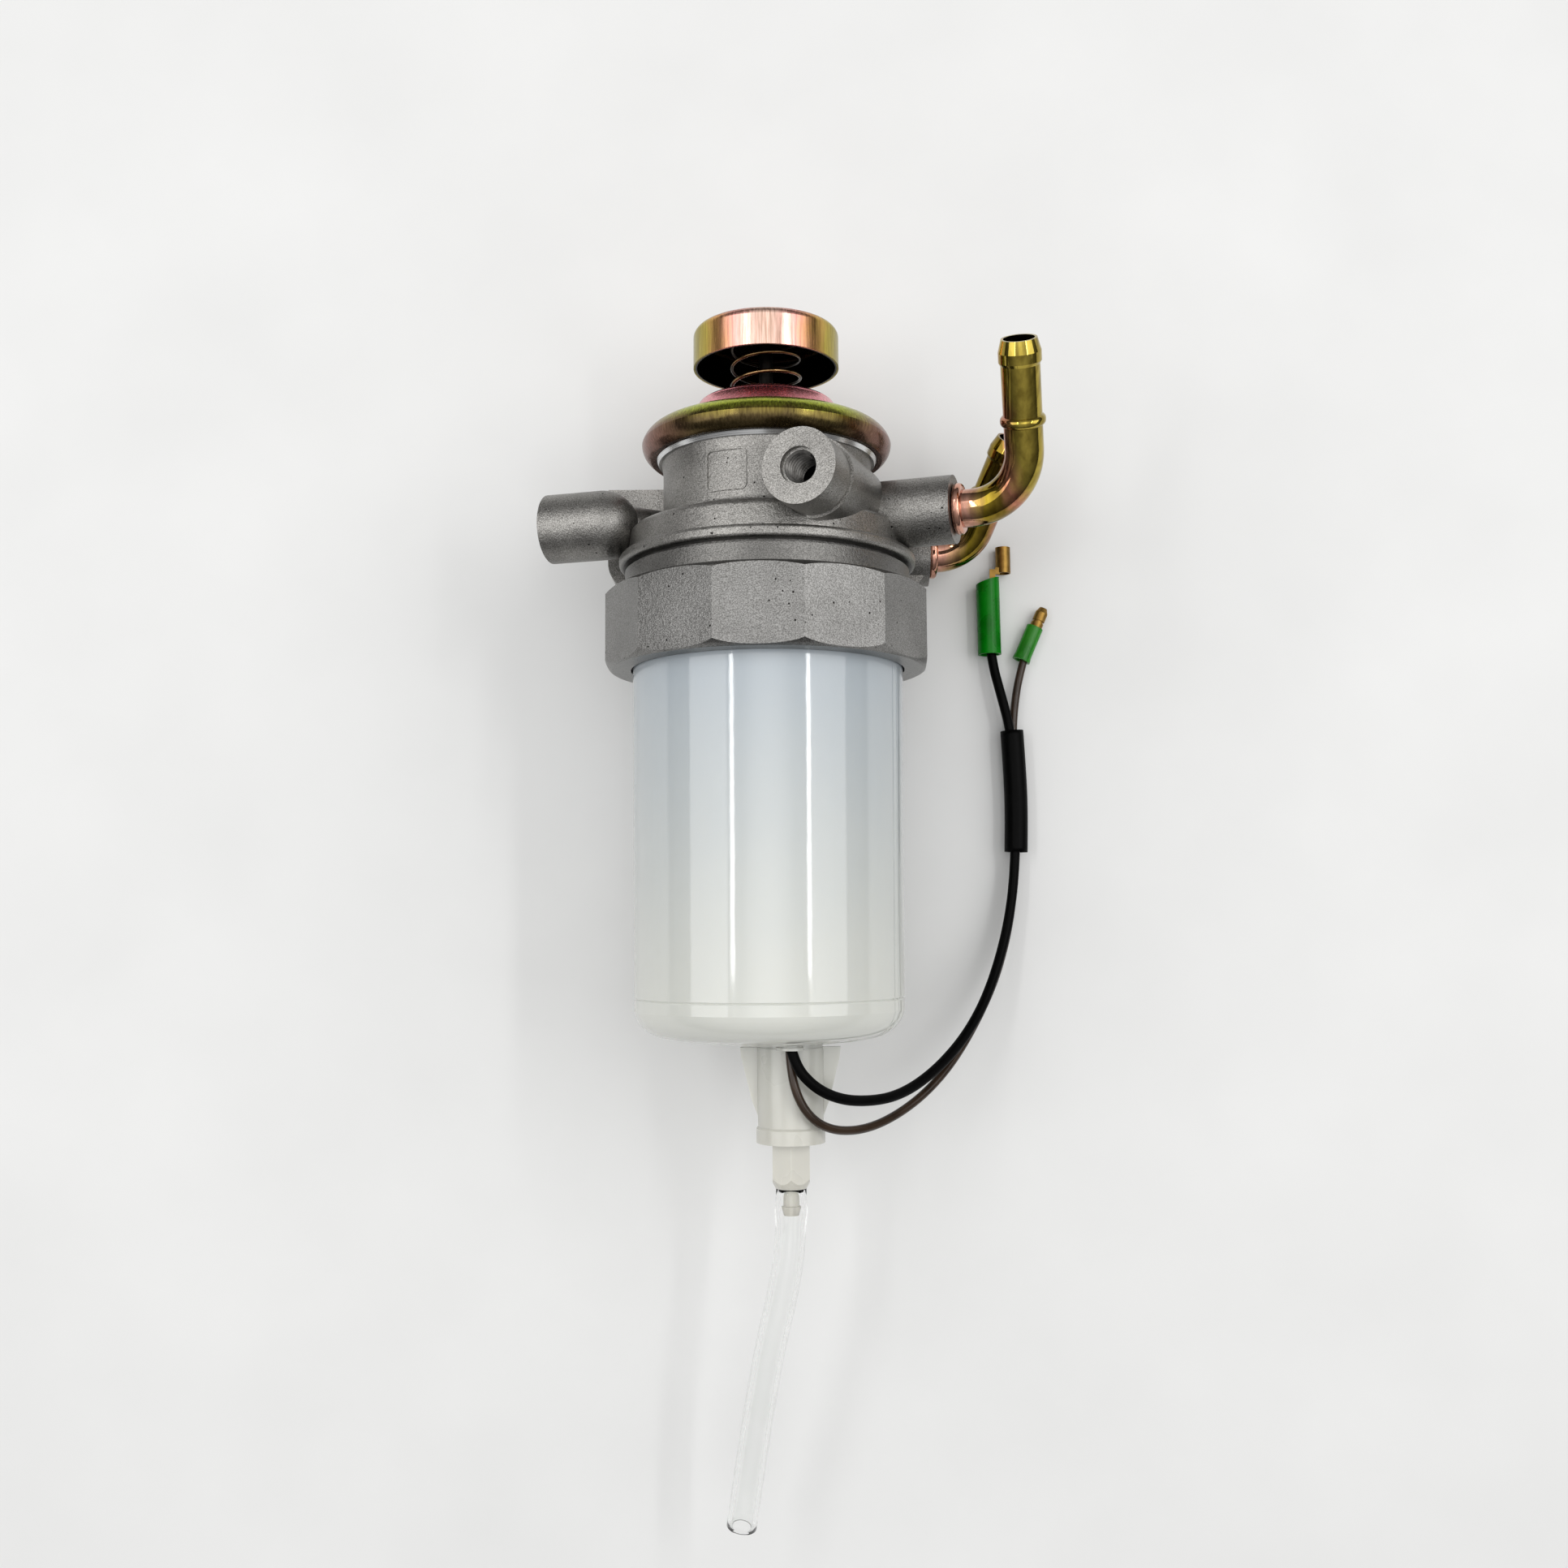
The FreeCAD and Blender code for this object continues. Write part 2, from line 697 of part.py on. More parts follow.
def make_bowl():
    wall = d.bowl_wall
    low = d.bowl_bottom
    shell = turned(
        "bowl_shell",
        [
            (0, low),
            (20.0, low + 0.6),
            (30.4, low + 2.2, d.knuckle_r),
            (d.bowl_low_r, d.bowl_seam - 3.4),
            (d.bowl_low_r, d.bowl_seam - 0.35),
            (d.bowl_low_r - 0.3, d.bowl_seam),
            (d.bowl_low_r, d.bowl_seam + 0.35),
            (d.bowl_top_r, d.bowl_flange_low),
            (d.bowl_flange_r, d.bowl_flange_low),
            (d.bowl_flange_r, d.bowl_flange_top),
            (d.bowl_top_r - wall, d.bowl_flange_top),
            (d.bowl_low_r - wall, d.bowl_seam),
            (d.bowl_low_r - wall, d.bowl_seam - 3.4, -6.7),
            (29.8, low + wall + 2.2),
            (20.0, low + wall + 0.6),
            (0, low + wall),
        ],
    )
    pad = disc("bowl_pad", 9.2, low - 0.2, low + wall + 0.6, d.drain_x)
    tools = [
        disc("sensor_hole", 7.0, low - 2, low + 6, d.drain_x),
        disc("grommet_hole", 3.2, low - 2, low + 6, GROMMET_X, GROMMET_HEIGHT),
    ]
    cut("bowl", fuse("bowl_masses", [shell, pad]), fuse("bowl_holes", tools))
    tube("bowl_gasket", 40.6, 37.6, d.bowl_flange_top, d.skirt_end)


# ---------------------------------------------------------------- primer pump


def make_valve_plate():
    disc_body = turned(
        "plate_disc",
        [
            (0, d.neck_top),
            (d.plate_r, d.neck_top),
            (d.plate_edge_r, d.cover_curl),
            (d.plate_edge_r, d.plate_step),
            (d.plate_flange_r, d.plate_step),
            (d.plate_flange_r, d.plate_top),
            (5.2, d.plate_top),
            (5.2, d.plate_top - 2.0),
            (0, d.plate_top - 2.0),
        ],
    )
    masses = [disc_body]
    tools = []
    for name, side, seat_r in (("inlet", 1, 4.0), ("outlet", -1, 4.6)):
        x = d.cage_x * side
        masses.append(disc(f"{name}_cage", d.cage_r, d.cage_end, d.neck_top, x))
        tools.append(disc(f"{name}_room", d.cage_bore_r, d.cage_end + 1.5, d.neck_top, x))
        tools.append(disc(f"{name}_seat", seat_r, d.cage_end - 1, d.cage_end + 2, x))
        tools.append(disc(f"{name}_port", 4.0, d.neck_top - 1, d.plate_top + 1, x))
    cut("valve_plate", fuse("plate_masses", masses), fuse("plate_tools", tools))


def spring(label, radius, wire, pitch, low, high, x=0.0, first_turn=0.0):
    """A round-wire coil spring with its ends just inside the two stations, starting at an angle."""
    points = []
    for step in range(round((high - low - 2 * wire) / pitch * COIL_POINTS) + 1):
        turn = math.radians(first_turn) + 2 * math.pi * step / COIL_POINTS
        rise = pitch * step / COIL_POINTS
        points.append(FreeCAD.Vector(radius * math.cos(turn), radius * math.sin(turn), rise))
    line = Part.BSplineCurve()
    line.interpolate(points)
    path = Part.Wire([line.toShape()])
    towards = path.Edges[0].tangentAt(path.Edges[0].FirstParameter)
    circle = Part.Wire(Part.Circle(points[0], towards, wire).toShape())
    item = shaped(label, path.makePipeShell([circle], True, False))
    item.Placement = FreeCAD.Placement(point(x, low + wire, 0), FreeCAD.Rotation(UP, ALONG))


# The coils of the two valve springs, and the room each valve disc takes from its spring.
VALVE_COIL = (5.4, 0.3, 1.6)
VALVE_ROOM = 1.25
CAGE_FLOOR = 1.5


def make_valves():
    floor = d.cage_end + CAGE_FLOOR
    disc("inlet_valve", d.valve_r, floor + 0.02, floor + 1.2, d.cage_x)
    disc("outlet_valve", d.valve_r, d.neck_top - 1.2, d.neck_top - 0.02, -d.cage_x)
    low, high = floor.value, d.neck_top.value
    spring("inlet_valve_spring", *VALVE_COIL, low + VALVE_ROOM, high, d.cage_x.value)
    spring("outlet_valve_spring", *VALVE_COIL, low, high - VALVE_ROOM, -d.cage_x.value)


def make_diaphragm():
    centre = 244.8
    turned(
        "diaphragm",
        [
            (2.1, centre),
            (13.5, centre),
            (27.0, d.plate_top),
            (30.6, d.plate_top),
            (30.6, d.bead_top),
            (27.6, d.bead_top),
            (27.0, d.plate_top + 1.5),
            (13.8, centre + 1.2),
            (2.1, centre + 1.2),
        ],
    )
    tube("lower_plate", 12.0, d.rod_r + 0.02, centre - 1.2, centre)
    tube("upper_plate", 12.0, d.rod_r + 0.02, centre + 1.2, centre + 2.4)
    under_button = d.button_top - d.button_sheet
    turned(
        "push_rod",
        [
            (0, centre - 2.4),
            (4.0, centre - 2.4),
            (4.0, centre - 1.2),
            (d.rod_r, centre - 1.2),
            (d.rod_r, under_button),
            (0, under_button),
        ],
    )


def make_cover():
    sheet = d.sheet
    outer, side, flat = d.cover_r, d.cover_side, d.cover_flat
    turned(
        "pump_cover",
        [
            (d.bush_r, d.cover_top - sheet),
            (d.cover_top_r - 1.4, d.cover_top - sheet),
            (d.cover_foot_r - 1.0, flat - sheet),
            (30.0, flat - sheet, -6.5),
            (outer - sheet, side, -7.0),
            (33.6, d.cover_curl + sheet),
            (32.2, d.cover_curl + sheet),
            (32.2, d.cover_curl),
            (33.6, d.cover_curl, 5.4),
            (outer, side, 6.4),
            (30.4, flat),
            (d.cover_foot_r + 0.4, flat, -2.0),
            (d.cover_foot_r - 1.0, flat + 0.8),
            (d.cover_top_r + 0.9, d.cover_top - 1.2, 2.0),
            (d.cover_top_r - 1.0, d.cover_top),
            (d.bush_r, d.cover_top),
        ],
    )
    tube("guide_bush", d.bush_r, d.rod_r + d.running_gap, 248.6, 253.4)


def make_button():
    rim, top = d.button_rim, d.button_top
    outer, sheet, bend = d.button_r, d.button_sheet, d.button_round
    turned(
        "primer_button",
        [
            (outer, rim),
            (outer, top - bend, bend),
            (outer - bend, top),
            (0, top),
            (0, top - sheet),
            (outer - bend, top - sheet, -(bend - sheet)),
            (outer - sheet, top - bend),
            (outer - sheet, rim),
        ],
    )
    under_button = (top - sheet).value
    spring(
        "button_spring",
        d.spring_r.value,
        d.spring_wire_r.value,
        d.spring_pitch.value,
        d.cover_top.value,
        under_button,
        first_turn=231.4,
    )


# ---------------------------------------------------------------- filter element


def make_element():
    top, low, cap = d.element_top, d.element_low, 1.5
    turned(
        "element_top_cap",
        [
            (10.6, top - cap),
            (d.element_r, top - cap),
            (d.element_r, top),
            (12.2, top),
            (12.2, top + 1.4),
            (10.6, top + 1.4),
        ],
    )
    pleated_media("element_media", low + cap, top - cap)
    tube("element_core", d.core_r, d.core_r - 0.8, low + cap, top - cap)
    disc("element_bottom_cap", d.element_r, low, low + cap)
    tube("element_seal", d.core_r - 0.8, d.spigot_r, top - 6.0, top - 2.0)
    spring("element_spring", 24.0, 0.9, 12.0, d.bowl_bottom.value + 8.0, low.value)


def pleated_media(label, low, high):
    """The paper as a star of pleats around the core."""
    pleats = 36
    outline = []
    thickness = 0.55
    for index in range(pleats):
        for part, radius in ((0.0, d.element_r.value - 0.6), (0.5, d.core_r.value + 4.0)):
            turn = 2 * math.pi * (index + part) / pleats
            outline.append(FreeCAD.Vector(radius * math.cos(turn), radius * math.sin(turn), 0))
    outer = Part.Face(Part.makePolygon(outline + outline[:1]))
    inner = Part.Face(outer.OuterWire.makeOffset2D(-thickness, 2, False, False, False))
    star = outer.cut(inner).extrude(FreeCAD.Vector(0, 0, (high - low).value))
    item = shaped(label, star)
    item.Placement = FreeCAD.Placement(point(0, low.value, 0), FreeCAD.Rotation(UP, ALONG))


# ---------------------------------------------------------------- water sensor and drain


def make_sensor():
    top, low = d.sensor_top, d.collar_end
    body = turned(
        "sensor_turned",
        [
            (0, 54.0),
            (4.2, 54.0),
            (4.2, low),
            (d.sensor_r, low),
            (d.sensor_r, d.collar_top - 0.6),
            (d.sensor_r - 0.5, d.collar_top),
            (d.sensor_r - 0.3, d.wing_end),
            (d.sensor_r - 0.3, top),
            (6.8, top),
            (6.8, top + 4.6),
            (d.stem_r, top + 4.6),
            (d.stem_r, d.stem_top),
            (0, d.stem_top),
        ],
        d.drain_x,
    )
    wings = shaped("sensor_wings", sensor_wings())
    wings.Placement = FreeCAD.Placement(point(d.drain_x.value, 0, 0), FreeCAD.Rotation())
    fuse("sensor_body", [body, wings])
    tube("sensor_gasket", 9.1, 7.05, top, d.bowl_bottom - 0.2, d.drain_x)
    low_stop = d.float_low + d.float_length + d.float_travel + 0.3
    tube("float_clip", 6.0, d.stem_r + 0.02, low_stop, low_stop + 1.2, d.drain_x)
    tube(
        "sensor_float", d.float_r, d.stem_r + 0.4, d.float_low, d.float_low + d.float_length, d.drain_x
    )
    make_grommet()


def sensor_wings():
    """Two thin ribs, one each side, that taper towards the drain."""
    top, end = d.sensor_top.value, d.wing_end.value
    wing, core = d.wing_r.value, d.sensor_r.value - 2.0
    rib = 1.2
    solids = []
    for side in (-1, 1):
        corners = [(core, top), (wing, top), (wing - 0.4, top - 3), (core + 3.2, end), (core, end - 8)]
        outline = [FreeCAD.Vector(side * x, y, -rib) for x, y in corners]
        face = Part.Face(Part.makePolygon(outline + outline[:1]))
        solids.append(face.extrude(FreeCAD.Vector(0, 0, 2 * rib)))
    return Part.makeCompound(solids)


def make_grommet():
    """The rubber plug that seals the two leads where they leave the bowl."""
    low = d.bowl_bottom - 0.9
    plug = turned(
        "grommet_plug",
        [
            (0, low),
            (3.9, low),
            (3.9, low + 0.8),
            (3.2, low + 0.8),
            (3.2, low + 4.2),
            (0, low + 4.2),
        ],
        GROMMET_X,
        GROMMET_HEIGHT,
    )
    holes = [
        disc("black_hole", d.black_r + 0.02, low - 1, low + 6, BLACK_ROUTE[0][0], BLACK_EXIT),
        disc("brown_hole", d.brown_r + 0.02, low - 1, low + 6, BROWN_ROUTE[0][0], BROWN_EXIT),
    ]
    cut("lead_grommet", plug, fuse("lead_holes", holes))


def make_drain_plug():
    hexagon = doc.addObject("Part::Prism", "plug_prism")
    hexagon.Polygon = 6
    bind(hexagon, "Circumradius", d.plug_corner_r)
    bind(hexagon, "Height", d.collar_end - 0.1 - d.plug_end)
    place = point(d.drain_x.value, d.plug_end.value, 0)
    lean = FreeCAD.Rotation(UP, ALONG)
    hexagon.Placement = FreeCAD.Placement(place, lean * FreeCAD.Rotation(UP, 90.0))
    top = d.collar_end - 0.1
    envelope = turned(
        "plug_envelope",
        [
            (0, d.plug_end),
            (d.plug_corner_r - 1.6, d.plug_end),
            (d.plug_corner_r + 0.2, d.plug_end + 3.4),
            (d.plug_corner_r + 0.2, top),
            (0, top),
        ],
        d.drain_x,
    )
    head = common("plug_head", hexagon, envelope)
    stem = disc("plug_stem", d.plug_stem_r, top, 50.0, d.drain_x)
    barb = turned(
        "plug_barb",
        [
            (0, d.barb_end),
            (d.barb_r - 0.6, d.barb_end),
            (d.barb_r, d.barb_end + 2.4),
            (d.barb_r - 0.5, d.barb_end + 2.6),
            (d.barb_r - 0.5, d.plug_end),
            (0, d.plug_end),
        ],
        d.drain_x,
    )
    bore = disc("plug_bore", 1.5, d.barb_end - 1, 51.0, d.drain_x)
    cut("drain_plug", fuse("plug_masses", [head, stem, barb]), bore)
    tube("drain_oring", 4.15, d.plug_stem_r + d.running_gap, 40.6, 42.2, d.drain_x)


# ---------------------------------------------------------------- leads, sleeve, terminals and hose

GROMMET_FACE = (d.bowl_bottom - 0.9 - d.datum).value
GROMMET_X = 5.7
GROMMET_HEIGHT = 13.2
BLACK_EXIT = 14.6
BROWN_EXIT = 11.7

BLACK_ROUTE = [
    (6.0, GROMMET_FACE, d.axis_height.value + BLACK_EXIT),
    (7.2, -156.0, 61.4),
    (10.6, -160.4, 60.7),
    (15.2, -163.9, 58.2),
    (21.0, -166.2, 54.0),
    (27.6, -167.0, 48.8),
    (34.0, -166.7, 43.6),
    (40.2, -164.8, 38.2),
    (46.4, -161.3, 32.8),
    (52.2, -156.8, 27.6),
    (57.8, -151.2, 22.4),
    (62.8, -144.4, 17.6),
    (66.9, -136.6, 13.8),
    (70.3, -128.0, 10.5),
    (73.2, -118.4, 7.9),
    (75.2, -107.6, 6.8),
    (76.2, -96.0, 6.0),
    (76.8, -83.5, 5.9),
    (76.5, -70.5, 5.9),
    (75.5, -57.5, 6.0),
    (72.8, -46.0, 5.2),
    (70.4, -36.0, 4.1),
    (69.6, -27.5, 4.0),
]
BROWN_ROUTE = [
    (5.5, GROMMET_FACE, d.axis_height.value + BROWN_EXIT),
    (5.8, -158.2, 59.2),
    (7.9, -165.6, 59.4),
    (11.6, -171.0, 57.4),
    (16.8, -174.3, 53.2),
    (23.2, -175.4, 47.8),
    (30.0, -174.6, 42.2),
    (37.2, -171.8, 36.4),
    (44.4, -167.4, 31.0),
    (51.4, -161.2, 25.8),
    (57.6, -153.8, 20.0),
    (63.2, -145.4, 14.3),
    (67.9, -136.6, 10.5),
    (71.4, -127.8, 7.0),
    (74.1, -118.0, 4.9),
    (75.9, -107.0, 3.4),
    (77.0, -96.0, 2.9),
    (77.3, -83.5, 2.9),
    (77.0, -70.5, 2.9),
    (76.6, -57.6, 3.0),
    (77.4, -48.4, 3.3),
    (79.0, -39.8, 3.1),
    (81.6, -31.2, 2.9),
]
SLEEVE_ROUTE = [
    (76.7, -95.6, 4.55),
    (77.1, -83.5, 4.55),
    (76.8, -70.5, 4.55),
    (76.1, -57.6, 4.55),
]
HOSE_ROUTE = [
    (5.7, -191.2, 46.5),
    (5.65, -205.2, 46.3),
    (3.4, -219.4, 45.0),
    (-0.4, -235.0, 42.6),
    (-3.6, -252.5, 39.6),
    (-6.4, -270.0, 36.3),
    (-9.0, -287.5, 32.6),
]


def along(start, end, reach):
    return start + (end - start).normalize() * reach


def hollow(start, end, outer, inner):
    direction = end - start
    wall = Part.makeCylinder(outer, direction.Length, start, direction)
    return wall.cut(Part.makeCylinder(inner, direction.Length + 2, along(start, end, -1), direction))


def make_leads():
    cord("lead_black", BLACK_ROUTE, d.black_r.value)
    cord("lead_brown", BROWN_ROUTE, d.brown_r.value)
    cord("lead_sleeve", SLEEVE_ROUTE, d.sleeve_r.value, d.sleeve_bore_r.value)
    cord("drain_hose", HOSE_ROUTE, d.hose_r.value, d.hose_bore_r.value)


def make_female_terminal():
    """The socket: its barrel lies outside the insulator, joined to its crimp by a thin strip."""
    low = FreeCAD.Vector(69.7, -33.2, 4.0)
    high = FreeCAD.Vector(69.4, -8.6, 4.0)
    sleeve = hollow(low, high, d.insulator_r.value, d.insulator_r.value - 0.65)
    slant = Part.makeBox(20, 10, 20, FreeCAD.Vector(-10, 0, -10))
    slant.Placement = FreeCAD.Placement(
        high + FreeCAD.Vector(0, -1.0, 0), FreeCAD.Rotation(FreeCAD.Vector(0, 0, 1), 18.0)
    )
    shaped("female_insulator", sleeve.cut(slant))
    crimp = hollow(FreeCAD.Vector(69.6, -27.4, 4.0), FreeCAD.Vector(69.5, -20.5, 4.0), 1.9, 1.0)
    strip = Part.makeBox(1.8, 15.6, 0.5, FreeCAD.Vector(70.1, -21.5, 3.9))
    tie = Part.makeBox(3.2, 1.6, 0.5, FreeCAD.Vector(70.1, -7.5, 3.9))
    barrel = hollow(FreeCAD.Vector(74.6, -6.9, 2.6), FreeCAD.Vector(74.6, 1.4, 2.6), 2.35, 1.95)
    bridge = Part.makeBox(2.0, 1.6, 0.5, FreeCAD.Vector(71.9, -6.9, 3.9))
    shaped("female_terminal", crimp.fuse([strip, tie, bridge, barrel]).removeSplitter())


def make_male_terminal():
    low = FreeCAD.Vector(79.7, -35.0, 2.95)
    high = FreeCAD.Vector(84.3, -24.4, 2.95)
    direction = (high - low).normalize()
    sleeve = Part.makeCylinder(d.small_insulator_r.value, (high - low).Length, low, direction)
    flare = Part.makeCone(2.9, d.small_insulator_r.value, 2.0, low, direction)
    bore = Part.makeCylinder(2.0, 14.0, low - direction, direction)
    shaped("male_insulator", sleeve.fuse(flare).cut(bore).removeSplitter())
    lead_end = FreeCAD.Vector(*BROWN_ROUTE[-1])
    crimp = Part.makeCylinder(1.7, 5.0, lead_end + direction * 0.3, direction)
    neck = Part.makeCylinder(1.3, 3.0, lead_end + direction * 4.5, direction)
    bullet = Part.makeCylinder(1.95, 5.0, lead_end + direction * 7.4, direction)
    groove = hollow(lead_end + direction * 9.0, lead_end + direction * 9.7, 2.3, 1.6)
    nose = Part.makeCone(1.95, 1.2, 1.6, lead_end + direction * 12.4, direction)
    shaped("male_terminal", crimp.fuse([neck, bullet, nose]).cut(groove).removeSplitter())


NODES = [
    "filter_head",
    "ring_nut",
    "bowl",
    "bowl_gasket",
    "valve_plate",
    "inlet_valve",
    "outlet_valve",
    "inlet_valve_spring",
    "outlet_valve_spring",
    "diaphragm",
    "lower_plate",
    "upper_plate",
    "push_rod",
    "pump_cover",
    "guide_bush",
    "primer_button",
    "button_spring",
    "upper_pipe",
    "rear_pipe",
    "element_top_cap",
    "element_media",
    "element_core",
    "element_bottom_cap",
    "element_seal",
    "element_spring",
    "sensor_body",
    "sensor_gasket",
    "sensor_float",
    "float_clip",
    "lead_grommet",
    "drain_plug",
    "drain_oring",
    "drain_hose",
    "lead_black",
    "lead_brown",
    "lead_sleeve",
    "female_insulator",
    "female_terminal",
    "male_insulator",
    "male_terminal",
]


def build():
    make_head()
    make_pipes()
    make_ring_nut()
    make_bowl()
    make_valve_plate()
    make_valves()
    make_diaphragm()
    make_cover()
    make_button()
    make_element()
    make_sensor()
    make_drain_plug()
    make_leads()
    make_female_terminal()
    make_male_terminal()
    doc.recompute()


def check():
    """Stop before anything is written if any object failed or any sub-part is not a sound solid."""
    for item in doc.Objects:
        if "Invalid" in item.State or "Error" in item.State:
            raise RuntimeError(f"{item.Label}: {item.State}")
    for node in NODES:
        shape = doc.getObjectsByLabel(node)[0].Shape
        if shape.isNull() or not shape.isValid() or not shape.Solids:
            raise RuntimeError(f"{node}: shape is not sound")


def write():
    os.makedirs("parts", exist_ok=True)
    for node in NODES:
        shape = doc.getObjectsByLabel(node)[0].Shape
        shape.exportStep(os.path.join("parts", f"{node}.step"))


build()
check()
write()
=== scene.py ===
import json
import math

import bpy
from mathutils import Matrix, Vector

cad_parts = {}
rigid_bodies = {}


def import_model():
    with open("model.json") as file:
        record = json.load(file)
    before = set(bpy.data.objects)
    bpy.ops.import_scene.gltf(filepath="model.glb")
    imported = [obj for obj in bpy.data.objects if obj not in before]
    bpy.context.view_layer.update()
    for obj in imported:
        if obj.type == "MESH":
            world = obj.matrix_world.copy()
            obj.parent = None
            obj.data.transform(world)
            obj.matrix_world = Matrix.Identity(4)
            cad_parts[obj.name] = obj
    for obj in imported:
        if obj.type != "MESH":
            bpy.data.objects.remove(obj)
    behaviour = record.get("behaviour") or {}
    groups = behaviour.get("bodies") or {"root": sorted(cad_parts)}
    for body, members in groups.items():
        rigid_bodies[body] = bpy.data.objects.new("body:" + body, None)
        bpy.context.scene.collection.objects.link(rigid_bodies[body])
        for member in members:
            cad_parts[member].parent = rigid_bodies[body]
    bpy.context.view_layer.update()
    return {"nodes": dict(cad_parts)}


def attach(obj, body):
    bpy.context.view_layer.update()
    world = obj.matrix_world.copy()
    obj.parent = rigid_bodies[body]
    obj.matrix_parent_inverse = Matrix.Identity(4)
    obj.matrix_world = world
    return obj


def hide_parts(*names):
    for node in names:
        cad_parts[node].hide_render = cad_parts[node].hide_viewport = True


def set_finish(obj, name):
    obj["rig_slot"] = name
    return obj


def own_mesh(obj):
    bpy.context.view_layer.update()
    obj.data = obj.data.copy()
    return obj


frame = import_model()
nodes = frame["nodes"]
scene = bpy.context.scene
scene.view_settings.view_transform = "Standard"

# The common axis of the head, the bowl and the pump runs along Y at this height.
AXIS = 0.0465
# Stations count from the drain end; this one is at Y = 0.
DATUM = 0.2175


# ------------------------------------------------------------ camera

TILT = math.radians(5.02)
ROLL = math.radians(-0.39)
CAMERA_PLACE = Vector((0.00443, -0.11688, 0.49477))
FOCAL_LENGTH = 36.06
FILM_WIDTH = 36.0
ALONG_VIEW = Vector((0, math.cos(TILT), math.sin(TILT)))
ACROSS_VIEW = Vector((1, 0, 0))


def placed(item, at, right, up, back):
    """Links a camera or lamp at a place, with its own right, up and back directions."""
    scene.collection.objects.link(item)
    item.matrix_world = Matrix.Translation(at) @ Matrix((right, up, back)).transposed().to_4x4()
    return item


lens = bpy.data.cameras.new("camera")
lens.sensor_width = FILM_WIDTH
lens.lens = FOCAL_LENGTH
scene.camera = placed(
    bpy.data.objects.new("camera", lens),
    CAMERA_PLACE,
    math.cos(ROLL) * ACROSS_VIEW + math.sin(ROLL) * ALONG_VIEW,
    math.cos(ROLL) * ALONG_VIEW - math.sin(ROLL) * ACROSS_VIEW,
    Vector((0, -math.sin(TILT), math.cos(TILT))),
)


# ------------------------------------------------------------ leads and hose

# Each route steers a smooth line, from the upper end of its piece to the other.
BLACK_ROUTE = (
    (0.0060, -0.1519, 0.0611), (0.0072, -0.1560, 0.0614), (0.0106, -0.1604, 0.0607),
    (0.0152, -0.1639, 0.0582), (0.0210, -0.1662, 0.0540), (0.0276, -0.1670, 0.0488),
    (0.0340, -0.1667, 0.0436), (0.0402, -0.1648, 0.0382), (0.0464, -0.1613, 0.0328),
    (0.0522, -0.1568, 0.0276), (0.0578, -0.1512, 0.0224), (0.0628, -0.1444, 0.0176),
    (0.0669, -0.1366, 0.0138), (0.0703, -0.1280, 0.0105), (0.0732, -0.1184, 0.0079),
    (0.0752, -0.1076, 0.0068), (0.0762, -0.0960, 0.0060), (0.0768, -0.0835, 0.0059),
    (0.0765, -0.0705, 0.0059), (0.0755, -0.0575, 0.0060), (0.0728, -0.0460, 0.0052),
    (0.0704, -0.0360, 0.0041), (0.0696, -0.0275, 0.0040),
)
BROWN_ROUTE = (
    (0.0055, -0.1519, 0.0582), (0.0058, -0.1582, 0.0592), (0.0079, -0.1656, 0.0594),
    (0.0116, -0.1710, 0.0574), (0.0168, -0.1743, 0.0532), (0.0232, -0.1754, 0.0478),
    (0.0300, -0.1746, 0.0422), (0.0372, -0.1718, 0.0364), (0.0444, -0.1674, 0.0310),
    (0.0514, -0.1612, 0.0258), (0.0576, -0.1538, 0.0200), (0.0632, -0.1454, 0.0143),
    (0.0679, -0.1366, 0.0105), (0.0714, -0.1278, 0.0070), (0.0741, -0.1180, 0.0049),
    (0.0759, -0.1070, 0.0034), (0.0770, -0.0960, 0.0029), (0.0773, -0.0835, 0.0029),
    (0.0770, -0.0705, 0.0029), (0.0766, -0.0576, 0.0030), (0.0774, -0.0484, 0.0033),
    (0.0790, -0.0398, 0.0031), (0.0816, -0.0312, 0.0029),
)
SLEEVE_ROUTE = (
    (0.0767, -0.0956, 0.00455), (0.0771, -0.0835, 0.00455),
    (0.0768, -0.0705, 0.00455), (0.0761, -0.0576, 0.00455),
)
HOSE_ROUTE = (
    (0.0057, -0.1912, 0.0465), (0.00565, -0.2052, 0.0463), (0.0034, -0.2194, 0.0450),
    (-0.0004, -0.2350, 0.0426), (-0.0036, -0.2525, 0.0396), (-0.0064, -0.2700, 0.0363),
    (-0.0090, -0.2875, 0.0326),
)


def points_along(name, route):
    """The points of the smooth line that a route's points control, and its length."""
    line = bpy.data.curves.new(name, "CURVE")
    line.dimensions = "3D"
    line.resolution_u = 12
    spline = line.splines.new("NURBS")
    spline.points.add(len(route) - 1)
    for knot, place in zip(spline.points, route):
        knot.co = (*place, 1.0)
    spline.order_u = 3
    spline.use_endpoint_u = True
    item = bpy.data.objects.new(name, line)
    scene.collection.objects.link(item)
    mesh = bpy.data.meshes.new_from_object(item)
    found = [vertex.co.copy() for vertex in mesh.vertices]
    bpy.data.objects.remove(item)
    return found, sum((b - a).length for a, b in zip(found, found[1:]))


def mesh_piece(name, points, faces, smooth=True):
    """A new piece that rides on the housing."""
    mesh = bpy.data.meshes.new(name)
    mesh.from_pydata(points, [], faces)
    mesh.validate()
    if smooth:
        mesh.shade_smooth()
    item = bpy.data.objects.new(name, mesh)
    scene.collection.objects.link(item)
    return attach(item, "housing")


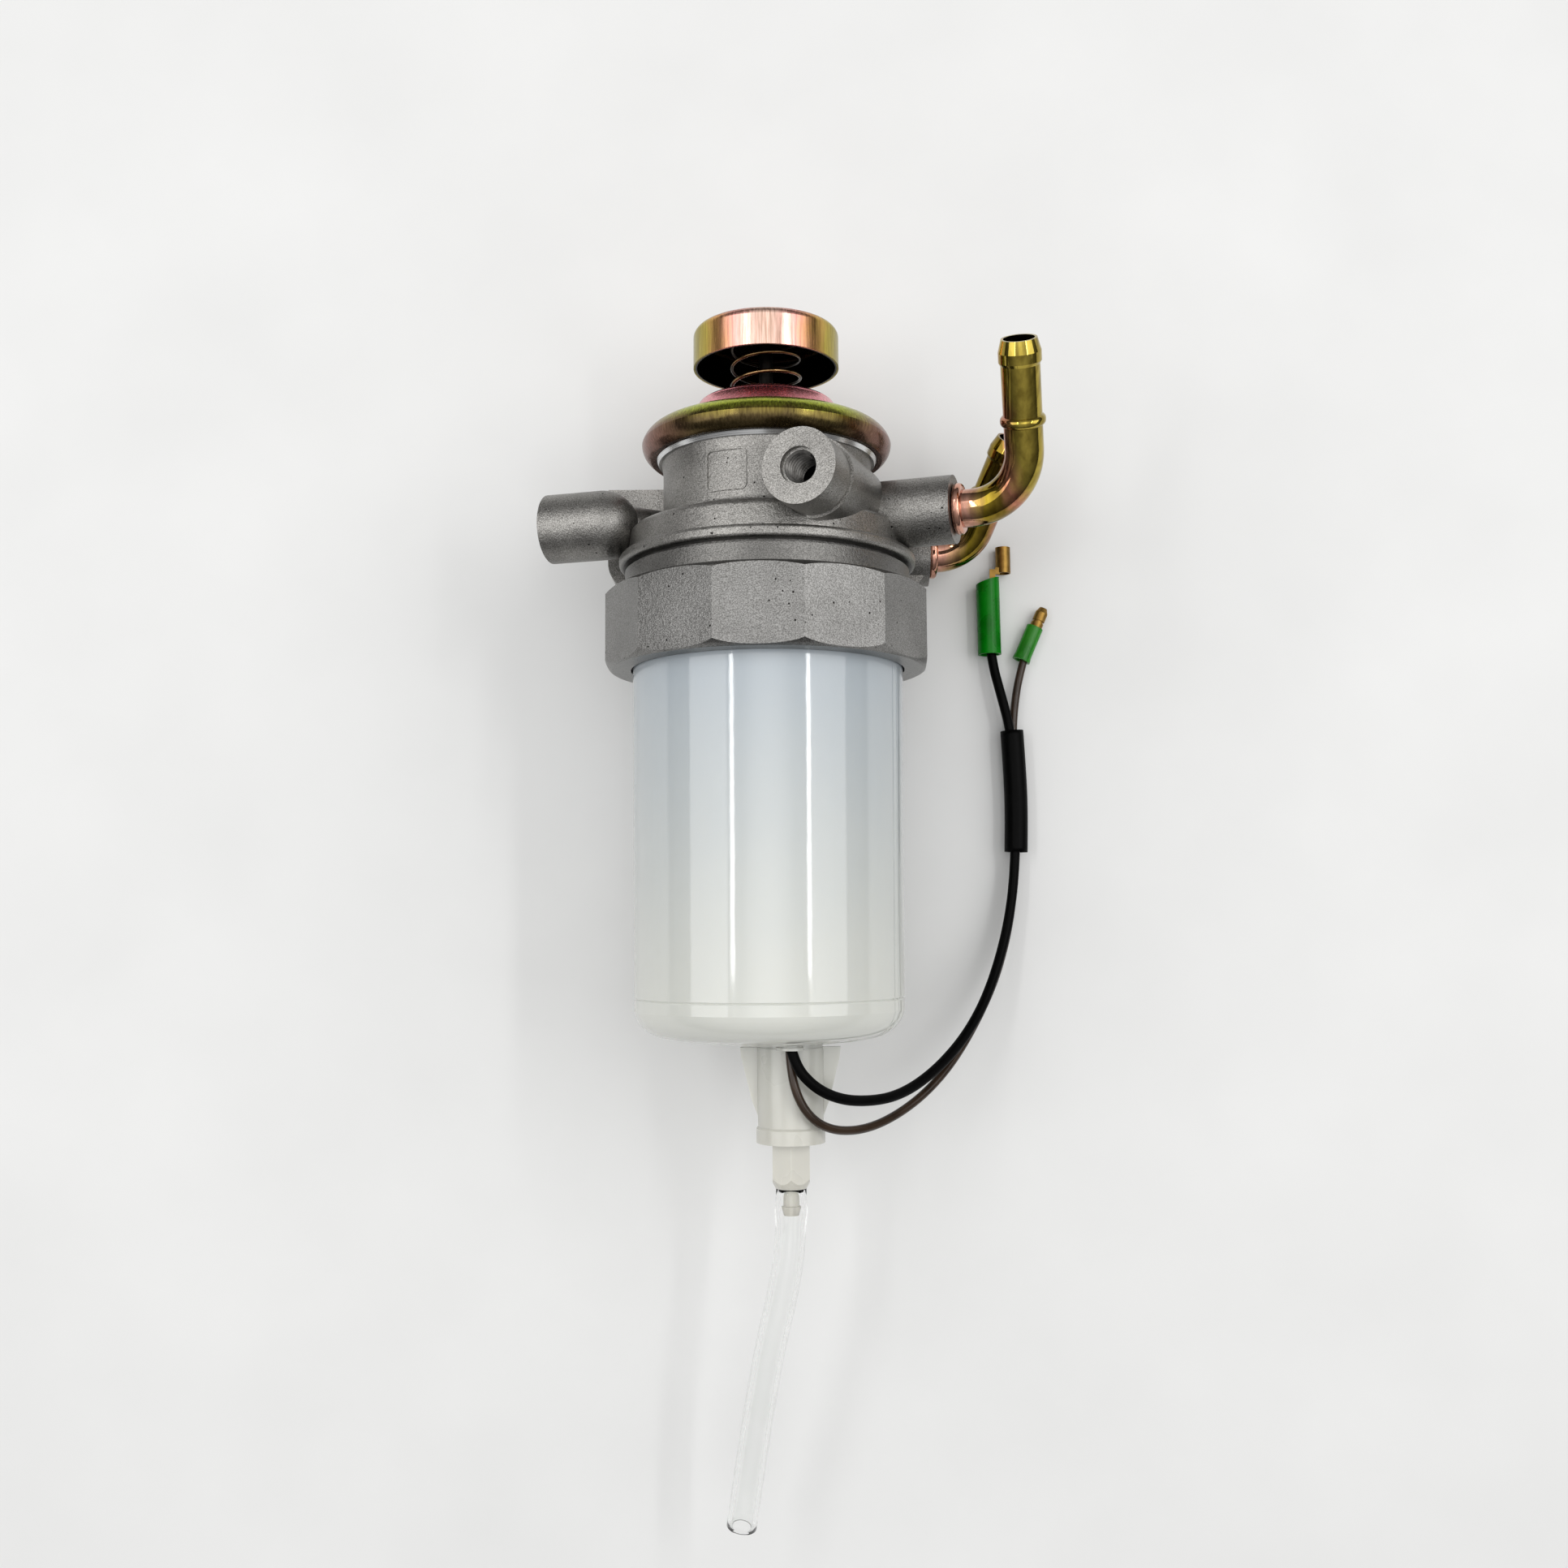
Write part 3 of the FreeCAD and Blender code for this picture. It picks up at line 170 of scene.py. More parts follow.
def section_frames(path):
    """Two directions across the path at each of its points, without twist."""
    frames = []
    side = None
    for index, place in enumerate(path):
        ahead = path[min(index + 1, len(path) - 1)] - path[max(index - 1, 0)]
        ahead.normalize()
        if side is None:
            side = ahead.orthogonal()
        side = (side - ahead * side.dot(ahead)).normalized()
        frames.append((side, ahead.cross(side)))
    return frames


def skin(path, walls, sides=32, closed=True):
    """Rings of points around a path, one wall after the other, and the faces that join them.

    Each wall gives the radius at every point of the path; the last wall runs backwards,
    so that a pair of walls makes a hollow tube with square ends."""
    frames = section_frames(path)
    points = []
    order = []
    for number, wall in enumerate(walls):
        run = list(zip(path, frames, wall))
        order += run if number % 2 == 0 else run[::-1]
    for place, (side, across), radius in order:
        for step in range(sides):
            turn = 2 * math.pi * step / sides
            points.append(place + (side * math.cos(turn) + across * math.sin(turn)) * radius)
    rings = len(order)
    faces = []
    for ring in range(rings if closed else rings - 1):
        following = (ring + 1) % rings
        for step in range(sides):
            beside = (step + 1) % sides
            faces.append((
                ring * sides + step, ring * sides + beside,
                following * sides + beside, following * sides + step,
            ))
    return points, faces


black_line, black_length = points_along("black_line", BLACK_ROUTE)
brown_line, brown_length = points_along("brown_line", BROWN_ROUTE)
hose_line, hose_length = points_along("hose_line", HOSE_ROUTE)
sleeve_line = points_along("sleeve_line", SLEEVE_ROUTE)[0]

BLACK_R = 0.0015
BROWN_R = 0.00125
LEAD_SIDES = 20


def lead_piece(name, line, radius):
    """A solid lead along a line, with flat ends."""
    points, faces = skin(line, [[radius] * len(line)], LEAD_SIDES, closed=False)
    faces.append(tuple(range(LEAD_SIDES))[::-1])
    faces.append(tuple(range(len(points) - LEAD_SIDES, len(points))))
    return mesh_piece(name, points, faces)


black_lead = lead_piece("black_lead", black_line, BLACK_R)
brown_lead = lead_piece("brown_lead", brown_line, BROWN_R)
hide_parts("lead_black")
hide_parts("lead_brown")

SLEEVE_R = 0.0036
SLEEVE_BORE_R = 0.00305
sleeve = mesh_piece("sleeve", *skin(
    sleeve_line, [[SLEEVE_R] * len(sleeve_line), [SLEEVE_BORE_R] * len(sleeve_line)],
))
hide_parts("lead_sleeve")

# The hose swells over the barb of the drain plug just below its top end.
HOSE_R = 0.0043
HOSE_BORE_R = 0.0030
BULGE = 0.0004
BULGE_AT = 0.0062
BULGE_WIDTH = 0.0022
HOSE_SIDES = 48
hose_outer = []
hose_inner = []
distance = 0.0
for index, place in enumerate(hose_line):
    if index:
        distance += (place - hose_line[index - 1]).length
    swell = BULGE * math.exp(-((distance - BULGE_AT) / BULGE_WIDTH) ** 2)
    hose_outer.append(HOSE_R + swell)
    hose_inner.append(HOSE_BORE_R + swell)
hose = mesh_piece("hose", *skin(hose_line, [hose_outer, hose_inner], HOSE_SIDES))
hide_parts("drain_hose")


# ------------------------------------------------------------ detail pieces

SPRING_R = 0.0100
SPRING_WIRE_R = 0.00055
SPRING_PITCH = 0.0056
SPRING_START = math.radians(231.4)
SPRING_STEPS = 40
WIRE_SIDES = 12
UNDER_BUTTON = 0.2722
COVER_TOP = 0.2514
PLATE_TOP = 0.2366
PRIMER_TRAVEL = 0.007
VALVE_TRAVEL = 0.0015


def coil_line():
    """Points on the button spring's helix, from the cover to the button."""
    start = COVER_TOP + SPRING_WIRE_R
    turns = (UNDER_BUTTON - SPRING_WIRE_R - start) / SPRING_PITCH
    found = []
    for step in range(round(turns * SPRING_STEPS) + 1):
        turn = SPRING_START + 2 * math.pi * step / SPRING_STEPS
        found.append(Vector((
            SPRING_R * math.cos(turn),
            start + SPRING_PITCH * step / SPRING_STEPS - DATUM,
            AXIS - SPRING_R * math.sin(turn),
        )))
    return found


def wire(name, line, radius, sides):
    """A thin round strand along a line, open at its ends."""
    return mesh_piece(name, *skin(line, [[radius] * len(line)], sides, closed=False))


primer_coil = wire("primer_coil", coil_line(), SPRING_WIRE_R, WIRE_SIDES)
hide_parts("button_spring")

# These pieces lie along the axis between a fixed end and the button, the plate or a valve disc; here
# each only gets a mesh of its own.
# Each row has the piece, its joint, the two stations that it lies between, how far the moving end goes,
# and the fixed end.
for piece, joint, low, high, travel, fixed in (
    (primer_coil, "primer_push", COVER_TOP, UNDER_BUTTON, PRIMER_TRAVEL, COVER_TOP),
    (nodes["diaphragm"], "primer_push", PLATE_TOP, 0.2458, PRIMER_TRAVEL, PLATE_TOP),
    (nodes["inlet_valve_spring"], "inlet_valve_lift", 0.22675, 0.2329, VALVE_TRAVEL, 0.2329),
    (nodes["outlet_valve_spring"], "outlet_valve_drop", 0.2255, 0.23165, VALVE_TRAVEL, 0.2255),
):
    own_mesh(piece)

THREAD_PITCH = 0.0015
THREAD_CREST_R = 0.0037
THREAD_ROOT_R = 0.00442
THREAD_TURNS = 9
THREAD_STEPS = 36
# The ridge's section: each corner's radius, and its place along the axis as a share of the pitch.
THREAD_SECTION = (
    (THREAD_ROOT_R, -0.32), (THREAD_CREST_R, -0.07), (THREAD_CREST_R, 0.07), (THREAD_ROOT_R, 0.32),
)
MOUTH_DEPTH = 0.0017
# The dark sheet of painted shade inside each port: its radius, the depths of its rings, and its sides.
PORT_SHADE_R = 0.00436
PORT_SHADE_DEPTHS = (MOUTH_DEPTH, 0.0060, 0.0110, 0.0158)
PORT_SHADE_SIDES = 32


def thread(name, face, out):
    """The ridge of an internal thread, winding inwards from the mouth of a port."""
    out = out.normalized()
    side = out.orthogonal().normalized()
    across = out.cross(side)
    points = []
    for step in range(THREAD_TURNS * THREAD_STEPS + 1):
        turn = 2 * math.pi * step / THREAD_STEPS
        spoke = side * math.cos(turn) + across * math.sin(turn)
        for radius, shift in THREAD_SECTION:
            depth = MOUTH_DEPTH + THREAD_PITCH * (step / THREAD_STEPS + shift)
            points.append(face - out * depth + spoke * radius)
    corners = len(THREAD_SECTION)
    faces = []
    for step in range(THREAD_TURNS * THREAD_STEPS):
        first = step * corners
        for corner in range(first, first + corners - 1):
            faces.append((corner, corner + 1, corner + corners + 1, corner + corners))
    return mesh_piece(name, points, faces, smooth=False)


def port_shade(name, face, out):
    """Painted shade: a dark wall and floor put inside a port behind its thread, where the port lies in
    shade.
    """
    out = out.normalized()
    line = [face - out * depth for depth in PORT_SHADE_DEPTHS]
    points, faces = skin(line, [[PORT_SHADE_R] * len(line)], PORT_SHADE_SIDES, closed=False)
    faces.append(tuple(range(len(points) - PORT_SHADE_SIDES, len(points))))
    return mesh_piece(name, points, faces)


# The middle of each port's face, and the direction that it looks in.
FRONT_OUT = Vector((-0.352, 0.0, 0.936))
FRONT_FACE = Vector((0.0087, 0.0008, 0.0975))
LEFT_OUT = Vector((-0.961, 0.0, -0.276))
LEFT_LENGTH = 0.0166
LEFT_FACE = Vector((-0.0467, -0.0030, 0.0515)) + LEFT_OUT * LEFT_LENGTH
front_thread = thread("front_thread", FRONT_FACE, FRONT_OUT)
front_port_shade = port_shade("front_port_shade", FRONT_FACE, FRONT_OUT)
left_thread = thread("left_thread", LEFT_FACE, LEFT_OUT)
left_port_shade = port_shade("left_port_shade", LEFT_FACE, LEFT_OUT)

# The moulding's parting line: a pair of fine ridges down each side of the bowl and under it.
# The profile has the bowl's radius at each station.
BOWL_PROFILE = (
    (0.03880, 0.1716), (0.03868, 0.1500), (0.03845, 0.1200), (0.03828, 0.0920),
    (0.03820, 0.0805), (0.03812, 0.0794), (0.03820, 0.0783), (0.03818, 0.0760),
    (0.03740, 0.0735), (0.03570, 0.0710), (0.03320, 0.0695), (0.03040, 0.0687),
    (0.02500, 0.0677), (0.01800, 0.0670), (0.01500, 0.0669),
)
PARTING_ANGLE = 66.0
PARTING_SPREAD = 2.2
RIDGE_R = 0.00016
RIDGE_SIDES = 8
for side, angle in (("right", PARTING_ANGLE), ("left", PARTING_ANGLE + 180)):
    for number, shift in enumerate((-PARTING_SPREAD, PARTING_SPREAD), start=1):
        turn = math.radians(angle + shift)
        line = [
            Vector((radius * math.sin(turn), station - DATUM, AXIS + radius * math.cos(turn)))
            for radius, station in BOWL_PROFILE
        ]
        ridge = wire(f"parting_{side}_{number}", line, RIDGE_R, RIDGE_SIDES)
        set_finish(ridge, "milky_nylon")


# ------------------------------------------------------------ materials

def colour(red, green, blue):
    """A display colour, 0 to 255, as the linear values that the shader takes."""
    shares = [value / 255 for value in (red, green, blue)]
    linear = [v / 12.92 if v <= 0.04045 else ((v + 0.055) / 1.055) ** 2.4 for v in shares]
    return (*linear, 1.0)


class Finish:
    """A procedural material in the object's own coordinates, which are metres in the row frame."""

    def __init__(self, name, **uniform):
        self.material = bpy.data.materials.new(name)
        self.material.use_nodes = True
        self.tree = self.material.node_tree
        self.surface = self.tree.nodes["Principled BSDF"]
        self.place = self.add("ShaderNodeTexCoord").outputs["Object"]
        self.normal = None
        for socket, value in uniform.items():
            self.surface.inputs[socket.replace("_", " ")].default_value = value

    def add(self, kind, **settings):
        node = self.tree.nodes.new(kind)
        for setting, value in settings.items():
            setattr(node, setting, value)
        return node

    def join(self, source, target):
        self.tree.links.new(source, target)

    def stretched(self, stretch):
        mapping = self.add("ShaderNodeMapping")
        mapping.inputs["Scale"].default_value = stretch
        self.join(self.place, mapping.inputs["Vector"])
        return mapping.outputs["Vector"]

    def noise(self, scale, detail=3.0, stretch=(1, 1, 1), distortion=0.0):
        node = self.add("ShaderNodeTexNoise")
        node.inputs["Scale"].default_value = scale
        node.inputs["Detail"].default_value = detail
        node.inputs["Distortion"].default_value = distortion
        self.join(self.stretched(stretch), node.inputs["Vector"])
        return node.outputs["Fac"]

    def cells(self, scale):
        node = self.add("ShaderNodeTexVoronoi")
        node.inputs["Scale"].default_value = scale
        self.join(self.place, node.inputs["Vector"])
        return node.outputs["Distance"]

    def axis(self, letter):
        node = self.add("ShaderNodeSeparateXYZ")
        self.join(self.place, node.inputs["Vector"])
        return node.outputs[letter]

    def reach(self):
        """The distance from the common axis."""
        flat = self.add("ShaderNodeVectorMath", operation="MULTIPLY_ADD")
        self.join(self.place, flat.inputs[0])
        flat.inputs[1].default_value = (1, 0, 1)
        flat.inputs[2].default_value = (0, 0, -AXIS)
        length = self.add("ShaderNodeVectorMath", operation="LENGTH")
        self.join(flat.outputs["Vector"], length.inputs[0])
        return length.outputs["Value"]

    def aside(self):
        """The distance to either side of the plane through the common axis."""
        node = self.add("ShaderNodeMath", operation="ABSOLUTE")
        self.join(self.axis("X"), node.inputs[0])
        return node.outputs["Value"]

    def both(self, first, second):
        node = self.add("ShaderNodeMath", operation="MULTIPLY")
        self.join(first, node.inputs[0])
        self.join(second, node.inputs[1])
        return node.outputs["Value"]

    def graded(self, value, low, high, to_low=0.0, to_high=1.0):
        node = self.add("ShaderNodeMapRange")
        self.join(value, node.inputs["Value"])
        for socket, number in (
            ("From Min", low), ("From Max", high), ("To Min", to_low), ("To Max", to_high),
        ):
            node.inputs[socket].default_value = number
        return node.outputs["Result"]

    def sum(self, first, second, share):
        """first + second times share."""
        node = self.add("ShaderNodeMath", operation="MULTIPLY_ADD")
        self.join(second, node.inputs[0])
        node.inputs[1].default_value = share
        self.join(first, node.inputs[2])
        return node.outputs["Value"]

    def ramp(self, value, *stops):
        node = self.add("ShaderNodeValToRGB")
        elements = node.color_ramp.elements
        while len(elements) < len(stops):
            elements.new(0.5)
        for element, (position, shade) in zip(elements, stops):
            element.position = position
            element.color = shade
        self.join(value, node.inputs["Fac"])
        return node.outputs["Color"]

    def mix(self, share, first, second, blend="MIX"):
        """From the first colour to the second by a share; each of the three may be a plain value."""
        node = self.add("ShaderNodeMix", data_type="RGBA", blend_type=blend)
        for source, target in zip((share, first, second), (node.inputs[i] for i in (0, 6, 7))):
            if isinstance(source, (float, tuple)):
                target.default_value = source
            else:
                self.join(source, target)
        return node.outputs[2]

    def paint(self, source):
        self.join(source, self.surface.inputs["Base Color"])
        return self

    def rough(self, value, low, high):
        self.join(self.graded(value, 0.25, 0.75, low, high), self.surface.inputs["Roughness"])
        return self

    def bump(self, height, distance, strength=1.0):
        node = self.add("ShaderNodeBump")
        node.inputs["Strength"].default_value = strength
        node.inputs["Distance"].default_value = distance
        self.join(height, node.inputs["Height"])
        if self.normal is not None:
            self.join(self.normal, node.inputs["Normal"])
        self.normal = node.outputs["Normal"]
        self.join(self.normal, self.surface.inputs["Normal"])
        return self


# How far a change of colour at an edge takes.
EDGE_BLUR = 0.0004


def cast_finish(name, dark, light, grain, roughness, painted_shade_below=None):
    """Grit-blasted casting: grey mottling, a fine sparkling grain and a few small black pits.

    Below a given place along Y, such as the head's ledge, it is darker with painted shade."""
    finish = Finish(name, Metallic=1.0)
    mottle = finish.noise(60, 4)
    fine = finish.noise(3200, 2)
    body = finish.ramp(mottle, (0.30, dark), (0.70, light))
    speck = finish.ramp(fine, (0.36, colour(164, 163, 161)), (0.64, colour(255, 255, 255)))
    body = finish.mix(0.85, body, speck, "MULTIPLY")
    clusters = finish.graded(finish.noise(110, 1), 0.48, 0.60, 0.0, 0.11)
    pits = finish.graded(finish.sum(finish.cells(420), clusters, -1.0), 0.0, 0.03)
    body = finish.mix(pits, colour(38, 37, 35), body)
    if painted_shade_below:
        above = finish.graded(finish.axis("Y"), painted_shade_below, painted_shade_below + EDGE_BLUR)
        # Below that place the colour is darkened as painted shade.
        body = finish.mix(above, finish.mix(0.45, body, colour(60, 60, 60)), body)
    finish.paint(body).rough(mottle, *roughness)
    finish.bump(fine, grain).bump(finish.noise(1000, 3), grain * 1.5)
    finish.bump(pits, 0.00012, 0.5)
    return finish.material


def turned_finish(name):
    """Bright metal with turning marks around the common axis, and painted sheen in broad bright and
    dark patches around it.
    """
    finish = Finish(name, Metallic=1.0)
    marks = finish.noise(700, 3, (0.02, 6.0, 0.02))
    painted_sheen = finish.noise(90, 2, (1.0, 0.1, 1.0))
    finish.paint(finish.ramp(
        finish.sum(marks, painted_sheen, 0.35), (0.45, colour(196, 197, 198)), (0.80, colour(240, 240, 240)),
    ))
    finish.rough(marks, 0.16, 0.30).bump(marks, 0.00002, 0.6)
    return finish.material


# The most that the cloudy wander and the streaks add to a film's place on its ramp.
WANDER = 0.24
STREAKS = 0.10


def zinc_film(name, guide, span, stops, streak, roughness, grain=1800, ends=None):
    """Yellow-passivated zinc, whose film changes colour across the piece and wanders a little.

    The guide runs through the film's stops over its span, shifted back by what the wander and the
    streaks add on average. The ends, if given, are a range of distance from the middle plane and
    the tint beyond it."""
    finish = Finish(name, Metallic=1.0)
    shift = (WANDER + STREAKS) / 2
    film = finish.graded(guide(finish), *span, -shift, 1.0 - shift)
    wander = finish.noise(90, 2, distortion=0.6)
    streaks = finish.noise(grain, 3, streak)
    film = finish.sum(finish.sum(film, wander, WANDER), streaks, STREAKS)
    shade = finish.ramp(streaks, (0.34, colour(206, 203, 196)), (0.60, colour(255, 255, 255)))
    tinted = finish.ramp(film, *stops)
    if ends:
        near, far, tint = ends
        tinted = finish.mix(finish.graded(finish.aside(), near, far), tinted, tint)
    finish.paint(finish.mix(1.0, tinted, shade, "MULTIPLY"))
    finish.rough(streaks, *roughness).bump(streaks, 0.000008, 0.3)
    return finish


# The cup of the button: its inner radius, and the place along Y of the underside of its top.
CUP_R = 0.0206
CUP_TOP = 0.0550


def button_finish():
    """The button's film, and painted shade inside its cup."""
    finish = zinc_film(
        "zinc_button", Finish.aside, (0.0, 0.0213), BUTTON_FILM_AND_PAINTED_LIGHT, LONG_STREAKS, (0.20, 0.30),
    )
    painted = finish.surface.inputs["Base Color"].links[0].from_socket
    # Within the cup's wall and under its top, the colour is painted dark as painted shade.
    inner_wall = finish.graded(finish.reach(), CUP_R, CUP_R + EDGE_BLUR / 2, 1.0, 0.0)
    below_top = finish.graded(finish.axis("Y"), CUP_TOP, CUP_TOP + EDGE_BLUR / 2, 1.0, 0.0)
    finish.paint(finish.mix(finish.both(inner_wall, below_top), painted, colour(26, 20, 14)))
    return finish.material


def nylon_finish(name, top, low, span, roughness, depth):
    """Milky moulded nylon that light enters a little way, its colour going from low to top along Y."""
    finish = Finish(
        name, Subsurface_Weight=0.35, Subsurface_Scale=depth, IOR=1.53,
        Coat_Weight=0.3, Coat_Roughness=0.04,
    )
    finish.surface.inputs["Subsurface Radius"].default_value = (1.0, 0.95, 0.85)
    height = finish.graded(finish.axis("Y"), *span)
    cloud = finish.noise(45, 3)
    finish.paint(finish.ramp(finish.sum(height, cloud, 0.14), (0.05, low), (1.0, top)))
    finish.rough(cloud, *roughness).bump(finish.noise(160, 2), 0.00008, 0.35)
    return finish.material


def plastic_finish(name, dark, light, roughness, grain=0.00003, **uniform):
    """Soft clouds between two shades, with a fine grain."""
    finish = Finish(name, **uniform)
    cloud = finish.noise(120, 4)
    finish.paint(finish.ramp(cloud, (0.30, dark), (0.72, light)))
    finish.rough(cloud, *roughness).bump(finish.noise(1800, 2), grain, 0.6)
    return finish.material


def metal_finish(name, dark, light, roughness):
    """Plain metal with small stains between two shades."""
    finish = Finish(name, Metallic=1.0)
    stain = finish.noise(420, 4)
    finish.paint(finish.ramp(stain, (0.30, dark), (0.70, light)))
    finish.rough(stain, *roughness).bump(finish.noise(2200, 2), 0.00002, 0.6)
    return finish.material


# The film's colours. They run outwards from the middle plane on the button, along Y on the cover,
# away from the common axis on the pipes, and upwards on the wire, where the darker low end is painted
# shade.
CREAM = colour(255, 214, 196)
PINK = colour(240, 172, 162)
AMBER = colour(226, 168, 108)
STRAW = colour(190, 170, 78)
OLIVE = colour(158, 146, 56)
MOSS = colour(92, 78, 52)
FERN = colour(110, 98, 50)
LEAF = colour(176, 188, 60)
ROSE = colour(136, 98, 88)
WINE = colour(236, 150, 160)
# On the button the film's hues are its own, but the lighter cream along the middle plane, which faces
# the lamps, and the darker olive at the sides are painted light.
BUTTON_FILM_AND_PAINTED_LIGHT = ((0.10, CREAM), (0.40, PINK), (0.62, AMBER), (0.82, STRAW), (1.0, OLIVE))
COVER_FILM = ((0.16, MOSS), (0.30, FERN), (0.44, LEAF), (0.56, LEAF), (0.62, AMBER), (0.68, WINE))
PIPE_FILM = (
    (0.16, colour(214, 160, 140)), (0.36, colour(160, 138, 46)), (0.52, colour(132, 110, 44)),
    (0.66, colour(200, 134, 108)), (0.84, colour(176, 156, 70)),
)
# The wire's colour is painted darker on the far side of the coil, as painted shade from the button.
WIRE_FILM_AND_PAINTED_SHADE = ((0.30, colour(26, 20, 14)), (0.60, colour(60, 44, 28)), (0.80, colour(150, 120, 84)))

# A film's streaks are stretched along Y twenty times, five times or not at all.
LONG_STREAKS = (1.0, 0.05, 1.0)
SHORT_STREAKS = (1.0, 0.2, 1.0)
NO_STREAKS = (1.0, 1.0, 1.0)

# The station of the lower side of the head's ledge, where the skirt starts; the casting below it
# carries painted shade.
LEDGE_END = 0.2019


def along_axis(finish):
    return finish.axis("Y")


def upwards(finish):
    return finish.axis("Z")


FINISHES = {
    "cast_aluminium": cast_finish(
        "grit_blasted_aluminium", colour(134, 132, 129), colour(170, 168, 164), 0.00008,
        (0.35, 0.45), LEDGE_END - DATUM,
    ),
    "turned_aluminium": turned_finish("turned_aluminium_ring"),
    # The bowl is painted darker and bluer towards the head, as painted shade of the element behind its
    # milky wall.
    "milky_nylon": nylon_finish(
        "milky_bowl", colour(170, 178, 184), colour(208, 209, 202),
        (-0.14, -0.04), (0.06, 0.10), 0.004,
    ),
    "white_nylon": nylon_finish(
        "natural_nylon", colour(190, 191, 185), colour(202, 199, 188),
        (-0.20, -0.14), (0.24, 0.36), 0.002,
    ),
    "yellow_zinc": zinc_film(
        "zinc_pressings", along_axis, (0.0160, 0.0340), COVER_FILM,
        LONG_STREAKS, (0.20, 0.30), ends=(0.020, 0.034, ROSE),
    ).material,
    "yellow_zinc_pipe": zinc_film(
        "zinc_pipes", Finish.reach, (0.056, 0.082), PIPE_FILM, SHORT_STREAKS, (0.06, 0.10), 500,
    ).material,
    "yellow_zinc_wire": zinc_film(
        "zinc_wire", upwards, (0.036, 0.057), WIRE_FILM_AND_PAINTED_SHADE, NO_STREAKS, (0.18, 0.28),
    ).material,
    "spring_steel": metal_finish(
        "spring_steel_wire", colour(120, 120, 122), colour(186, 186, 188), (0.24, 0.4),
    ),
    "black_rubber": plastic_finish(
        "black_seal", colour(18, 18, 18), colour(34, 34, 34), (0.55, 0.75),
    ),
    "filter_paper": plastic_finish(
        "pleated_paper", colour(196, 166, 104), colour(222, 196, 138), (0.8, 0.95),
    ),
    "float_foam": plastic_finish(
        "float_body", colour(30, 30, 32), colour(46, 46, 48), (0.6, 0.8), 0.0001,
    ),
    "black_pvc": plastic_finish(
        "black_insulation", colour(0, 0, 0), colour(4, 4, 4), (0.36, 0.48), Specular_IOR_Level=0.05,
    ),
    "brown_pvc": plastic_finish(
        "brown_insulation", colour(38, 28, 20), colour(60, 46, 35), (0.12, 0.22),
        Specular_IOR_Level=0.3,
    ),
    "green_pvc": plastic_finish(
        "green_insulator", colour(0, 112, 6), colour(0, 150, 16), (0.22, 0.34),
        Transmission_Weight=0.35, IOR=1.45, Specular_IOR_Level=0.06,
    ),
    "light_green_pvc": plastic_finish(
        "light_green_insulator", colour(40, 150, 34), colour(78, 184, 58), (0.16, 0.26),
        Transmission_Weight=0.65, IOR=1.4, Specular_IOR_Level=0.08,
    ),
    "clear_pvc": plastic_finish(
        "clear_tube", colour(252, 253, 252), colour(255, 255, 255), (0.02, 0.06), 0.000001,
        Transmission_Weight=1.0, IOR=1.28,
    ),
    "dull_brass": metal_finish(
        "tarnished_brass", colour(120, 92, 44), colour(160, 126, 66), (0.34, 0.5),
    ),
}
nut_finish = cast_finish(
    "machined_nut", colour(130, 129, 127), colour(150, 149, 147), 0.00004, (0.28, 0.34),
)
rod_finish = metal_finish("blackened_rod", colour(24, 23, 22), colour(40, 38, 35), (0.4, 0.55))
# The thread is coloured darker than the casting, as painted shade inside the ports.
shaded_thread_finish = metal_finish("cut_thread_in_painted_shade", colour(62, 60, 58), colour(120, 118, 115), (0.24, 0.34))
# The near-black bore inside the ports is painted shade.
port_shade_finish = plastic_finish(
    "painted_shade_bore", colour(8, 8, 8), colour(26, 26, 25), (0.7, 0.9), Specular_IOR_Level=0.02,
)

# Each node's material has its slot's name, with a number after it where several nodes share it.
for node in nodes.values():
    slot_name = node.data.materials[0].name.split(".")[0]
    node.data.materials[0] = FINISHES[slot_name]
nodes["ring_nut"].data.materials[0] = nut_finish
nodes["primer_button"].data.materials[0] = button_finish()
nodes["push_rod"].data.materials[0] = rod_finish

for piece, slot_name in (
    (black_lead, "black_pvc"),
    (brown_lead, "brown_pvc"),
    (sleeve, "black_pvc"),
    (hose, "clear_pvc"),
    (primer_coil, "yellow_zinc_wire"),
    (front_thread, "cast_aluminium"),
    (left_thread, "cast_aluminium"),
    (front_port_shade, "cast_aluminium"),
    (left_port_shade, "cast_aluminium"),
):
    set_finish(piece, slot_name)
for piece in scene.objects:
    if "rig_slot" in piece:
        piece.data.materials.append(FINISHES[piece["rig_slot"]])
for piece in (front_thread, left_thread):
    piece.data.materials[0] = shaded_thread_finish
for piece in (front_port_shade, left_port_shade):
    piece.data.materials[0] = port_shade_finish


# ------------------------------------------------------------ table and light

TABLE_HALF = 3.0
# A hair below the part, so that no two faces share a plane.
TABLE_HEIGHT = -0.0002
CORNERS = ((-1, -1), (1, -1), (1, 1), (-1, 1))

